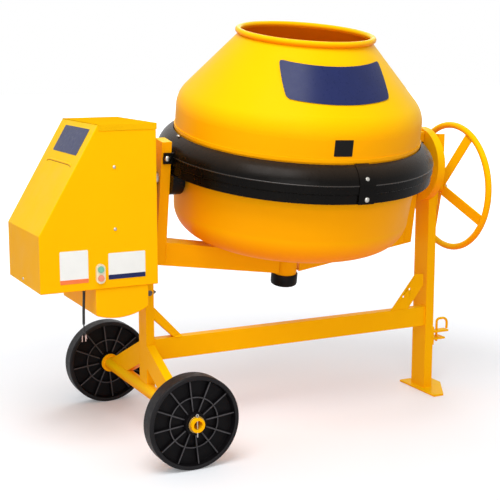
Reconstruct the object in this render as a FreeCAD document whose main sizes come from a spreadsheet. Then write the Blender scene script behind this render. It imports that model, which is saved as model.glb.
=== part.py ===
"""Tilting-drum concrete mixer on a two-wheel frame, as a parametric FreeCAD document.

Frame of the part: +Z up, +X along the beam from the motor housing to the handwheel, -Y towards
the side that the drum is tipped to at rest.  All sub-parts are laid out in the mixer's own frame
(x = 0 on the drum axis, y = 0 on the tilt axis, z = 0 on the ground); their Placement then moves
them by origin_x, origin_y so that the origin lies under the middle of the whole machine.
"""
import FreeCAD, Part
import math
import os
from types import SimpleNamespace

import Sketcher

Vector = FreeCAD.Vector
X_AXIS, Y_AXIS, Z_AXIS = Vector(1, 0, 0), Vector(0, 1, 0), Vector(0, 0, 1)

# ---------------------------------------------------------------- driving dimensions, mm and deg
DIMENSIONS = {
    # whole machine
    "origin_x": (161, "drum axis from the middle of the machine, along X"),
    "origin_y": (9.5, "tilt axis from the middle of the machine, along Y"),
    "axis_z": (948, "height of the tilt axis"),
    "tilt": (9.5, "lean of the drum at rest, mouth towards -Y"),
    "sheet_wall": (3, "folded sheet steel"),
    "plate_wall": (5, "rolled channel and plate"),
    # drum shell: heights are measured along the drum axis from the tilt axis
    "shell_wall": (3, "drum shell"),
    "drum_r": (465, "outer radius of the drum's cylinder"),
    "mouth_r": (251, "centreline radius of the rolled mouth"),
    "mouth_top": (523, "height of the rolled mouth"),
    "bead_r": (11, "radius of the rolled bead and of the handwheel rim"),
    "shoulder_top_r": (436.5, "radius where the cone meets the shoulder"),
    "shoulder_top": (303, "height where the cone meets the shoulder"),
    "shoulder_low": (229, "height where the shoulder meets the cylinder"),
    "shoulder_r": (110, "bend radius of the shoulder"),
    "seam_top": (164, "top of the lapped seam"),
    "seam_low": (152, "bottom of the lapped seam"),
    "seam_lap": (3.5, "how far the seam stands proud"),
    "belly_top": (-20, "height where the bowl starts to draw in"),
    "belly_low": (-139, "height where the bottom knuckle starts"),
    "belly_r": (454, "radius at the bottom knuckle"),
    "knuckle_r": (105, "bend radius of the bottom knuckle"),
    "bottom_low": (-294, "lowest point of the bowl"),
    "crown_r": (1348, "radius of the dished bottom"),
    # ring gear and bevel pinion
    "ring_teeth": (120, "teeth of the ring gear"),
    "pinion_teeth": (12, "teeth of the bevel pinion"),
    "ring_pitch_r": (498, "mean pitch radius of the ring gear"),
    "tooth_face": (28, "face width of ring gear and pinion"),
    "ring_back": (80, "height of the ring gear's upper face"),
    "bevel_add": (6.4, "tooth height outside the pitch line"),
    "bevel_ded": (8.4, "tooth depth inside the pitch line"),
    # ring guard
    "guard_lip_r": (471, "inner radius of the guard's top lip"),
    "guard_lip": (147, "height of the guard's top lip"),
    "guard_r": (525, "radius of the guard's ridge"),
    "guard_ridge": (89, "height of the guard's ridge"),
    "guard_step": (56, "height of the step in the guard's wall"),
    "guard_low": (19, "bottom of the guard"),
    "guard_wall": (4, "thickness of the guard"),
    "guard_bend": (95, "bend radius of the guard's bevel"),
    "strap_angle": (7, "angle that a joint strap spans"),
    # yoke that carries the drum
    "arm_in": (528, "inner face of the yoke arms from the drum axis"),
    "arm_width": (38, "width of the yoke arms along X"),
    "arm_depth": (70, "depth of the yoke along Y"),
    "arm_top": (141, "top of the yoke arms"),
    "cross_top": (-240, "top of the cross arm where it leaves the arm"),
    "cross_low": (-324, "bottom of the cross arm under the arm"),
    "cross_fall": (81, "drop of the cross arm from arm to hub"),
    "hub_r": (47, "radius of the hub housing"),
    "hub_top": (-312, "top of the hub housing"),
    "hub_low": (-432, "bottom of the hub housing"),
    "cap_drop": (30, "length of the rubber hub cap"),
    "spindle_r": (20, "radius of the drum spindle"),
    "run_gap": (0.05, "radial clearance of running fits"),
    # shafts and bearings
    "drive_r": (17.5, "radius of the drive shaft"),
    "trunnion_r": (24, "radius of the trunnions"),
    "bearing_r": (33, "outer radius of the trunnion bearings"),
    "hand_drop": (100, "handwheel axis below the tilt axis"),
    "hand_shaft_r": (12.5, "radius of the handwheel shaft"),
    "tilt_teeth": (30, "teeth of the tilt gear"),
    "hand_teeth": (10, "teeth of the handwheel pinion"),
    "tilt_add": (4.2, "tooth height of the tilt gears"),
    "tilt_ded": (5.4, "tooth depth of the tilt gears"),
    "gear_width": (16, "width of the tilt gears"),
    "gear_start": (578, "inner face of the tilt gears"),
    # frame
    "post_x": (-631, "outer face of the left post"),
    "post_width": (32, "width of the post along X"),
    "post_depth": (75, "depth of the post along Y"),
    "post_top": (1005, "top of the post and of the leg"),
    "beam_low": (276, "underside of the beam"),
    "beam_high": (80, "height of the beam"),
    "beam_deep": (40, "depth of the beam along Y"),
    "leg_x": (604, "inner face of the right leg"),
    "leg_width": (39, "width of the leg along X"),
    "leg_depth": (94, "depth of the leg along Y"),
    "axle_x": (-623, "axle from the drum axis"),
    "wheel_r": (165, "radius of the wheels, and height of the axle"),
    "wheel_y": (429, "wheel mid-plane from the tilt axis"),
    "wheel_width": (63, "width of the wheels"),
    "axle_r": (25, "radius of the axle tube"),
    "axle_bore": (16, "bore of the axle tube"),
    "axle_end": (484, "half length of the axle tube"),
    "brace_slope": (0.463, "fall of the axle braces per unit of Y"),
    "brace_top": (336, "top of the axle braces at the post"),
    "brace_deep": (86, "height of the axle braces at the post"),
    "brace_end": (372, "end of the axle braces along Y"),
    # foot and hitch
    "foot_plate": (8, "thickness of the foot plate"),
    "hitch_x": (694, "hitch pin from the drum axis"),
    "hitch_pin_r": (7, "radius of the hitch pin"),
    "hitch_lug": (232, "underside of the upper hitch lug"),
    # motor housing
    "box_left": (-1070, "outer face of the motor housing"),
    "box_right": (-648, "inner face of the motor housing"),
    "box_front": (-206, "front of the motor housing"),
    "box_back": (184, "back of the motor housing"),
    "box_low": (602, "underside of the motor housing"),
    "box_kink": (798, "height where the slanted face starts"),
    "box_high": (1160, "top of the motor housing's walls"),
    "box_peak": (-857, "left edge of the motor housing's top"),
    "pan_left": (-874, "left wall of the lower pan"),
    "pan_right": (-656, "right wall of the lower pan"),
    "pan_r": (221, "radius of the lower pan's round bottom"),
    "pan_x": (-796, "centre of the lower pan's round bottom along X"),
    "pan_z": (715, "centre of the lower pan's round bottom"),
    # belt drive
    "belt_x": (-770, "middle of the belt along X"),
    "motor_z": (705, "height of the motor axis"),
    "motor_r": (82, "radius of the motor"),
    "big_pulley_r": (150, "radius of the large pulley"),
    "small_pulley_r": (30, "radius of the motor pulley"),
    "belt_deep": (9, "depth of the V-belt"),
    # handwheel
    "rim_r": (252, "centreline radius of the handwheel rim"),
    "rim_x": (737, "handwheel rim from the drum axis"),
    "spoke_x": (690, "spokes at the hub from the drum axis"),
    "first_spoke": (27, "angle of the first spoke from +Y"),
    # switch
    "switch_x": (-860, "middle of the switch along X"),
    "switch_z": (657, "middle of the switch"),
    "button_r": (11, "radius of the push-buttons"),
}

doc = FreeCAD.newDocument("ConcreteMixer")


class Size:
    """A number worked out from the sheet's cells, with the expression that keeps it bound."""

    def __init__(self, value, text):
        self.value = float(value)
        self.text = text

    def __add__(self, other):
        other = size_of(other)
        return Size(self.value + other.value, f"({self.text} + {other.text})")

    def __sub__(self, other):
        other = size_of(other)
        return Size(self.value - other.value, f"({self.text} - {other.text})")

    def __mul__(self, other):
        other = size_of(other)
        return Size(self.value * other.value, f"({self.text} * {other.text})")

    def __truediv__(self, other):
        other = size_of(other)
        return Size(self.value / other.value, f"({self.text} / {other.text})")

    def __neg__(self):
        return Size(-self.value, f"(0 - {self.text})")

    def __radd__(self, other):
        return size_of(other) + self

    def __rsub__(self, other):
        return size_of(other) - self

    def __rmul__(self, other):
        return size_of(other) * self


def size_of(item):
    return item if isinstance(item, Size) else Size(item, f"({float(item):.6f})")


def make_sheet():
    """The spreadsheet with one aliased cell per driving dimension."""
    sheet = doc.addObject("Spreadsheet::Sheet", "Dims")
    cells = {}
    for row, (alias, (value, note)) in enumerate(DIMENSIONS.items(), start=1):
        sheet.set(f"A{row}", note)
        sheet.set(f"B{row}", str(value))
        sheet.setAlias(f"B{row}", alias)
        cells[alias] = Size(value, f"Dims.{alias}")
    doc.recompute()
    return SimpleNamespace(**cells)


D = make_sheet()


# ---------------------------------------------------------------- building helpers
def bind(item, prop, amount):
    """Set a length or angle, and bind it when it comes from the sheet."""
    amount = size_of(amount)
    setattr(item, prop, amount.value)
    if "Dims." in amount.text:
        item.setExpression(prop, amount.text)


def place(item, at, rotation=None):
    """Place an object at a point whose coordinates may be bound to the sheet."""
    at = [size_of(part) for part in at]
    item.Placement = FreeCAD.Placement(Vector(*[part.value for part in at]), rotation or FreeCAD.Rotation())
    for letter, part in zip("xyz", at):
        if "Dims." in part.text:
            item.setExpression(f"Placement.Base.{letter}", part.text)
    return item


def block(low, high):
    """A box from its lowest to its highest corner."""
    item = doc.addObject("Part::Box", "Block")
    for prop, start, end in zip(("Length", "Width", "Height"), low, high):
        bind(item, prop, size_of(end) - start)
    return place(item, low)


TURN = {
    "x": FreeCAD.Rotation(Y_AXIS, 90),
    "y": FreeCAD.Rotation(X_AXIS, -90),
    "z": FreeCAD.Rotation(),
}


def rod(along, start, end, radius, across=(0, 0)):
    """A cylinder along one axis, from start to end; across is its place in the other two axes."""
    item = doc.addObject("Part::Cylinder", "Rod")
    bind(item, "Radius", radius)
    bind(item, "Height", size_of(end) - start)
    at = list(across)
    at.insert("xyz".index(along), start)
    return place(item, at, TURN[along])


def cut(base, *tools):
    """base with the tools taken away."""
    for tool in tools:
        result = doc.addObject("Part::Cut", "Cut")
        result.Base = base
        result.Tool = tool
        base = result
    return base


def fuse(*items):
    """Several overlapping or touching shapes made into one."""
    result = doc.addObject("Part::MultiFuse", "Fuse")
    result.Shapes = list(items)
    result.Refine = True
    return result


def tube(along, start, end, outer, inner, across=(0, 0)):
    """A straight pipe."""
    return cut(rod(along, start, end, outer, across),
               rod(along, size_of(start) - 1, size_of(end) + 1, inner, across))


def hoop(radius, section, centre, along="z"):
    """A torus."""
    item = doc.addObject("Part::Torus", "Hoop")
    bind(item, "Radius1", radius)
    bind(item, "Radius2", section)
    return place(item, centre, TURN[along])


PLANES = {"xy": "XY_Plane", "xz": "XZ_Plane", "yz": "YZ_Plane"}


def sketched_body(plane, outline, start=0):
    """A body with one closed sketch.  outline is a list of (u, v) corners in the plane; a corner
    given as (u, v, radius, side) is reached from the one before it by an arc of that radius, which
    bulges to the left (side = 1) or to the right (side = -1) of the way there."""
    body = doc.addObject("PartDesign::Body", "Body")
    base = next(item for item in body.Origin.OriginFeatures if item.Role == PLANES[plane])
    sketch = body.newObject("Sketcher::SketchObject", "Outline")
    sketch.AttachmentSupport = [(base, "")]
    sketch.MapMode = "FlatFace"
    start = size_of(start) * (-1 if plane == "xz" else 1)
    sketch.AttachmentOffset = FreeCAD.Placement(Vector(0, 0, start.value), FreeCAD.Rotation())
    if "Dims." in start.text:
        sketch.setExpression("AttachmentOffset.Base.z", start.text)
    corners = [(size_of(corner[0]), size_of(corner[1])) + tuple(corner[2:]) for corner in outline]
    ends = []
    for index, corner in enumerate(corners):
        before = corners[index - 1]
        first = Vector(before[0].value, before[1].value, 0)
        last = Vector(corner[0].value, corner[1].value, 0)
        if len(corner) == 2:
            number = sketch.addGeometry(Part.LineSegment(first, last), False)
            ends.append((number, 1, 2))
            continue
        radius, side = size_of(corner[2]), corner[3]
        half = (last - first) * 0.5
        left = Vector(-half.y, half.x, 0).normalize() * side
        rise = radius.value - math.sqrt(radius.value ** 2 - half.Length ** 2)
        top = first + half + left * rise
        clockwise = side > 0
        arc = Part.Arc(last, top, first) if clockwise else Part.Arc(first, top, last)
        number = sketch.addGeometry(arc, False)
        ends.append((number, 2, 1) if clockwise else (number, 1, 2))
        added = sketch.addConstraint(Sketcher.Constraint("Radius", number, radius.value))
        sketch.setExpression(f"Constraints[{added}]", radius.text)
    for index, corner in enumerate(corners):
        here, after = ends[index], ends[(index + 1) % len(ends)]
        sketch.addConstraint(Sketcher.Constraint("Coincident", here[0], here[2], after[0], after[1]))
        for amount, kind, axis in ((corner[0], "DistanceX", -2), (corner[1], "DistanceY", -1)):
            if abs(amount.value) < 1e-9:
                sketch.addConstraint(Sketcher.Constraint("PointOnObject", here[0], here[2], axis))
                continue
            added = sketch.addConstraint(Sketcher.Constraint(kind, -1, 1, here[0], here[2], amount.value))
            if "Dims." in amount.text:
                sketch.setExpression(f"Constraints[{added}]", amount.text)
    return body, sketch


def prism(plane, outline, start, length):
    """An outline padded along the axis across its plane, from start over length."""
    body, sketch = sketched_body(plane, outline, start)
    pad = body.newObject("PartDesign::Pad", "Pad")
    pad.Profile = sketch
    bind(pad, "Length", length)
    pad.Reversed = plane == "xz"
    return body


def turned(plane, outline, axis, angle=360, first=0):
    """An outline turned about the sketch's horizontal or vertical axis."""
    body, sketch = sketched_body(plane, outline)
    spin = body.newObject("PartDesign::Revolution", "Turn")
    spin.Profile = sketch
    spin.ReferenceAxis = (sketch, [axis])
    spin.Angle = angle
    body.Placement = FreeCAD.Placement(Vector(), FreeCAD.Rotation(Z_AXIS, first))
    return body


def fixed_shape(name, shape):
    """A Part::Feature that holds a shape worked out by its own formula."""
    item = doc.addObject("Part::Feature", name)
    item.Shape = shape
    return item


NODES = []


def node(label, frame, *items):
    """One sub-part, from one or more shapes laid out in the mixer's frame or the leaning frame."""
    item = doc.addObject("Part::Compound", "Node_" + label)
    item.Links = list(items)
    item.Label = label
    if frame == "leaning":
        place(item, (D.origin_x, D.origin_y, D.axis_z), FreeCAD.Rotation(X_AXIS, D.tilt.value))
        item.setExpression("Placement.Rotation.Angle", D.tilt.text)
    else:
        place(item, (D.origin_x, D.origin_y, 0))
    NODES.append(item)
    return item


# ---------------------------------------------------------------- gear teeth
PRESSURE_ANGLE = math.radians(25)


def involute(angle):
    return math.tan(angle) - angle


def gear_outline(teeth, pitch_r, add, ded, play, first):
    """Closed outline of a spur gear as points: an involute flank in three chords on each side of
    each tooth.  first is the angle of the first tooth; play is what each tooth is thinned by."""
    base_r = pitch_r * math.cos(PRESSURE_ANGLE)
    half_tooth = (math.pi * pitch_r / teeth - play) / (2 * pitch_r)
    flank = [(pitch_r - ded, None)] + [(radius, radius) for radius in
                                       (max(base_r, pitch_r - ded + 0.5), pitch_r, pitch_r + add / 2, pitch_r + add)]
    points = []
    for index in range(teeth):
        middle = first + 2 * math.pi * index / teeth
        side = []
        for radius, on_flank in flank:
            reach = max(on_flank or base_r, base_r)
            half = half_tooth + involute(PRESSURE_ANGLE) - involute(math.acos(base_r / reach))
            side.append((radius, half))
        points += [(radius, middle - half) for radius, half in side]
        points += [(radius, middle + half) for radius, half in reversed(side)]
    return [(radius * math.cos(angle), radius * math.sin(angle)) for radius, angle in points]


def outline_wire(points, x):
    corners = [Vector(x, y, z) for y, z in points]
    return Part.makePolygon(corners + corners[:1])


def spur_gear(teeth, pitch_r, first, bore):
    """A gear across X whose teeth start at the angle first, with a plain bore."""
    points = gear_outline(teeth, pitch_r, D.tilt_add.value, D.tilt_ded.value, 0.8, first)
    blank = Part.Face(outline_wire(points, D.gear_start.value)).extrude(Vector(D.gear_width.value, 0, 0))
    start = Vector(D.gear_start.value - 1, 0, 0)
    return blank.cut(Part.makeCylinder(bore, D.gear_width.value + 2, start, X_AXIS))


BEVEL_PLAY = 1.3


def bevel_pinion_shape():
    """Straight-toothed pinion on the tilt axis: its sections shrink towards the drum axis, where
    the pitch cones of pinion and ring gear meet.  A gap faces straight up, into the ring."""
    ratio = D.pinion_teeth.value / D.ring_teeth.value
    teeth = int(D.pinion_teeth.value)
    wires = []
    for reach in (-0.5, 0.5):
        distance = D.ring_pitch_r.value + reach * D.tooth_face.value
        scale = distance / D.ring_pitch_r.value
        points = gear_outline(teeth, ratio * distance, D.bevel_add.value * scale, D.bevel_ded.value * scale,
                              BEVEL_PLAY, math.pi / 2 + math.pi / teeth)
        wires.append(outline_wire(points, -distance))
    solid = Part.makeLoft(wires, True, True)
    length = D.tooth_face.value + 2
    start = Vector(-D.ring_pitch_r.value - length / 2, 0, 0)
    return solid.cut(Part.makeCylinder(D.drive_r.value, length, start, X_AXIS))


def ring_tooth(middle):
    """One tooth of the ring gear, pointing down, tapered towards the drum axis."""
    ratio = D.pinion_teeth.value / D.ring_teeth.value
    slope = math.tan(PRESSURE_ANGLE)
    sink = 2.0
    wires = []
    for reach in (-0.5, 0.5):
        radius = D.ring_pitch_r.value + reach * D.tooth_face.value
        pitch_height = ratio * radius
        half = (math.pi * radius / D.ring_teeth.value - BEVEL_PLAY) / 2
        tip = half - D.bevel_add.value * slope
        root = half + (D.bevel_ded.value + sink) * slope
        low, high = pitch_height - D.bevel_add.value, pitch_height + D.bevel_ded.value + sink
        corners = [Vector(radius, -root, high), Vector(radius, -tip, low),
                   Vector(radius, tip, low), Vector(radius, root, high)]
        wires.append(Part.makePolygon(corners + corners[:1]))
    tooth = Part.makeLoft(wires, True, True)
    tooth.rotate(Vector(), Z_AXIS, middle)
    return tooth


def ring_gear_shape():
    """Cast ring gear: a stepped ring round the drum with teeth on its underside."""
    outer = D.ring_pitch_r.value + D.tooth_face.value / 2
    root = D.ring_pitch_r.value * D.pinion_teeth.value / D.ring_teeth.value + D.bevel_ded.value
    ring = Part.makeCylinder(outer, D.ring_back.value - root, Vector(0, 0, root), Z_AXIS)
    ring = ring.cut(Part.makeCylinder(D.drum_r.value, D.ring_back.value, Vector(), Z_AXIS))
    count = int(D.ring_teeth.value)
    return ring.multiFuse([ring_tooth(index * 360 / count) for index in range(count)]).removeSplitter()


# ---------------------------------------------------------------- drum
def make_drum():
    """The shell in two halves, its rolled mouth, ring gear, blades and spindle, about its own axis."""
    wall, lap = D.shell_wall, D.seam_lap
    cone_top_r, cone_top = D.mouth_r - 5, D.mouth_top - 9
    bead = (0, 0, D.mouth_top)
    cone = turned("xz", [
        (D.drum_r - wall, D.seam_low),
        (D.drum_r + lap, D.seam_low),
        (D.drum_r + lap, D.seam_top),
        (D.drum_r, D.seam_top),
        (D.drum_r, D.shoulder_low),
        (D.shoulder_top_r, D.shoulder_top, D.shoulder_r, -1),
        (cone_top_r, cone_top),
        (cone_top_r - wall * 1.35, cone_top),
        (D.shoulder_top_r - wall * 0.74, D.shoulder_top - wall * 0.67),
        (D.drum_r - wall, D.shoulder_low, D.shoulder_r - wall, 1),
    ], "V_Axis")
    node("drum_cone", "leaning", cut(cone, hoop(D.mouth_r, D.bead_r, bead)))
    node("mouth_bead", "leaning", hoop(D.mouth_r, D.bead_r, bead))
    bowl = turned("xz", [
        (D.drum_r, D.seam_low),
        (D.drum_r - wall, D.seam_low),
        (D.drum_r - wall, D.belly_top),
        (D.belly_r - wall, D.belly_low),
        (D.belly_r - D.knuckle_r * 1.01, D.bottom_low + wall + 45.5, D.knuckle_r - wall, 1),
        (0, D.bottom_low + wall, D.crown_r, 1),
        (0, D.bottom_low),
        (D.belly_r - D.knuckle_r * 0.99, D.bottom_low + 46.5, D.crown_r, -1),
        (D.belly_r, D.belly_low, D.knuckle_r, -1),
        (D.drum_r, D.belly_top),
    ], "V_Axis")
    node("drum_bowl", "leaning", bowl)
    node("ring_gear", "leaning", fixed_shape("RingGearShape", ring_gear_shape()))
    blades = []
    for angle in (30, 150, 270):
        blade = prism("xz", [(250, -200), (420, -190), (459, -60), (463, 0), (463, 130), (400, 145), (330, -40)], -4, 8)
        blade.Placement = FreeCAD.Placement(Vector(), FreeCAD.Rotation(Z_AXIS, angle))
        blades.append(cut(blade, bowl))
    node("mixing_blades", "leaning", *blades)
    spindle = fuse(rod("z", D.hub_low + 12, D.hub_top + 3, D.spindle_r),
                   rod("z", D.hub_top + 2, D.bottom_low - 5, D.spindle_r + 14),
                   rod("z", D.bottom_low - 6, D.bottom_low + 3, D.hub_r + 20))
    node("drum_spindle", "leaning", cut(spindle, bowl, rod("z", D.bottom_low + 3.9, D.bottom_low + 40, 80)))


# ---------------------------------------------------------------- yoke
def yoke_side(side):
    """One half of the yoke: upright arm and falling cross arm in one folded channel, its web
    towards -Y and its flanges towards +Y."""
    def corner(x, z):
        return (side * x, z)
    wall = D.plate_wall
    out = D.arm_in + D.arm_width
    hub = D.hub_r - 2
    outer = [corner(out, D.arm_top), corner(D.arm_in, D.arm_top), corner(D.arm_in, D.cross_top),
             corner(hub, D.cross_top - D.cross_fall), corner(hub, D.cross_low - D.cross_fall),
             corner(out, D.cross_low)]
    inner = [corner(out - wall, D.arm_top - wall), corner(D.arm_in + wall, D.arm_top - wall),
             corner(D.arm_in + wall, D.cross_top - wall), corner(hub - 4, D.cross_top - D.cross_fall - wall),
             corner(hub - 4, D.cross_low - D.cross_fall + wall), corner(out - wall, D.cross_low + wall)]
    half = D.arm_depth / 2
    arm = cut(prism("xz", outer, -half, D.arm_depth), prism("xz", inner, -half + wall, D.arm_depth))
    hub_hole = rod("z", D.hub_low - 5, D.hub_top + 5, D.hub_r)
    bore = D.trunnion_r
    axis_hole = rod("x", 400, 700, bore) if side > 0 else rod("x", -700, -400, bore)
    return cut(arm, hub_hole, axis_hole)


def make_yoke():
    """Arms, hub, trunnions and tilt gear."""
    node("yoke_left_arm", "leaning", yoke_side(-1))
    node("yoke_right_arm", "leaning", yoke_side(1))
    bore = D.spindle_r + D.run_gap
    housing = cut(rod("z", D.hub_low, D.hub_top, D.hub_r), rod("z", D.hub_low + 8, D.hub_top + 1, bore))
    node("hub_housing", "leaning", housing)
    node("hub_cap", "leaning", turned("xz", [
        (0, D.hub_low), (D.hub_r + 2, D.hub_low), (D.hub_r + 2, D.hub_low - D.cap_drop + 8),
        (D.hub_r - 6, D.hub_low - D.cap_drop, 8, 1), (0, D.hub_low - D.cap_drop)], "V_Axis"))
    node("left_trunnion", "leaning",
         tube("x", -625, -D.arm_in - 1, D.trunnion_r, D.drive_r + D.run_gap))
    node("right_trunnion", "leaning", rod("x", D.arm_in + 1, 664, D.trunnion_r))
    pitch_r = D.hand_drop.value * D.tilt_teeth.value / (D.tilt_teeth.value + D.hand_teeth.value)
    # the gears mesh straight below the tilt axis, whatever the yoke's lean at rest
    down = -math.pi / 2 - math.radians(D.tilt.value)
    gear = spur_gear(int(D.tilt_teeth.value), pitch_r, down, D.trunnion_r.value)
    node("tilt_gear", "leaning", fixed_shape("TiltGearShape", gear))


# ---------------------------------------------------------------- ring guard
def guard_profile():
    """Section of the moulded guard: bevelled lip, ridge, and a wall with a step."""
    wall = D.guard_wall
    return [
        (D.guard_lip_r, D.guard_lip - wall),
        (D.guard_r - wall, D.guard_ridge - 2, D.guard_bend, 1),
        (D.guard_r - wall, D.guard_step - 3),
        (D.guard_r - wall * 2, D.guard_step - 6),
        (D.guard_r - wall * 2, D.guard_low),
        (D.guard_r - wall, D.guard_low),
        (D.guard_r - wall, D.guard_step - 4),
        (D.guard_r, D.guard_step),
        (D.guard_r, D.guard_ridge),
        (D.guard_lip_r, D.guard_lip, D.guard_bend, -1),
    ]


def strap_profile():
    """Section of the strap that laps the joint of the two guard halves."""
    wall, proud = D.guard_wall, 3
    return [
        (D.guard_r, D.guard_step),
        (D.guard_r - wall, D.guard_step - 4),
        (D.guard_r - wall, D.guard_low),
        (D.guard_r + proud, D.guard_low),
        (D.guard_r + proud, D.guard_ridge),
        (D.guard_lip_r, D.guard_lip + proud, D.guard_bend, -1),
        (D.guard_lip_r, D.guard_lip),
        (D.guard_r, D.guard_ridge, D.guard_bend, 1),
    ]


def make_guard():
    """Two moulded half rings with a lug each, their joint straps, and the pinion cover."""
    front = -D.arm_depth / 2
    lug_low, lug_high, lug_thick = 62, 102, 9
    for label, first, side in (("ring_guard_left", 90, -1), ("ring_guard_right", 270, 1)):
        half = turned("xz", guard_profile(), "V_Axis", 180, first)
        near, far = (D.guard_r - 5) * side, (D.arm_in + D.arm_width - 6) * side
        low, high = (far, near) if side < 0 else (near, far)
        lug = block((low, front - lug_thick, lug_low), (high, front, lug_high))
        node(label, "leaning", fuse(half, lug))
    for label, middle in (("guard_strap_front", 270), ("guard_strap_rear", 90)):
        node(label, "leaning", turned("xz", strap_profile(), "V_Axis", D.strap_angle.value,
                                      middle - D.strap_angle.value / 2))
    inner, outer = -D.ring_pitch_r + 18, -D.arm_in + 1
    round_r, skin = 64, 3.5
    shell = fuse(rod("x", outer, inner, round_r),
                 block((outer, -round_r, 0), (inner, round_r, D.guard_low)))
    hollow = fuse(rod("x", outer + skin, inner - skin, round_r - skin),
                  block((outer + skin, -round_r + skin, 0), (inner - skin, round_r - skin, D.guard_low + 60)))
    node("pinion_cover", "leaning", cut(shell, hollow, rod("x", outer - 1, outer + skin + 1, D.drive_r + 6),
                                        block((outer - 1, -80, D.guard_low), (inner + 1, 80, D.guard_low + 80))))


# ---------------------------------------------------------------- drive
def pulley(x, radius, hub_r, bore, across):
    """A cast V-belt pulley: grooved rim, web and hub."""
    half = 16
    rim = rod("x", x - half, x + half, radius, across)
    recess = tube("x", x + 5, x + half + 1, size_of(radius) - 16, hub_r, across)
    back = tube("x", x - half - 1, x - 5, size_of(radius) - 16, hub_r, across)
    return rim, recess, back, rod("x", x - half - 2, x + half + 2, bore, across)


def make_drive():
    """Drive shaft on the tilt axis with the bevel pinion and the large belt pulley."""
    start = D.belt_x - 26
    node("drive_shaft", "leaning", rod("x", start, -D.ring_pitch_r + D.tooth_face / 2, D.drive_r))
    node("bevel_pinion", "leaning", fixed_shape("PinionShape", bevel_pinion_shape()))
    rim, recess, back, bore = pulley(D.belt_x, D.big_pulley_r, D.drive_r + 16, D.drive_r, (0, 0))
    groove = tube("x", D.belt_x - 7, D.belt_x + 7, D.big_pulley_r + 1, D.big_pulley_r - 11)
    holes = [rod("x", D.belt_x - 8, D.belt_x + 8, 22, (84 * math.cos(turn), 84 * math.sin(turn)))
             for turn in (math.radians(90 * index + 45) for index in range(4))]
    node("large_pulley", "leaning", cut(rim, recess, back, bore, groove, *holes))


# ---------------------------------------------------------------- frame
def channel(plane, outer, inner, start, length, wall):
    """A folded channel: an outline padded over its length, hollowed from the far side."""
    return cut(prism(plane, outer, start, length), prism(plane, inner, size_of(start) + wall, length))


def rectangle(u_low, u_high, v_low, v_high):
    return [(u_low, v_low), (u_high, v_low), (u_high, v_high), (u_low, v_high)]


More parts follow.
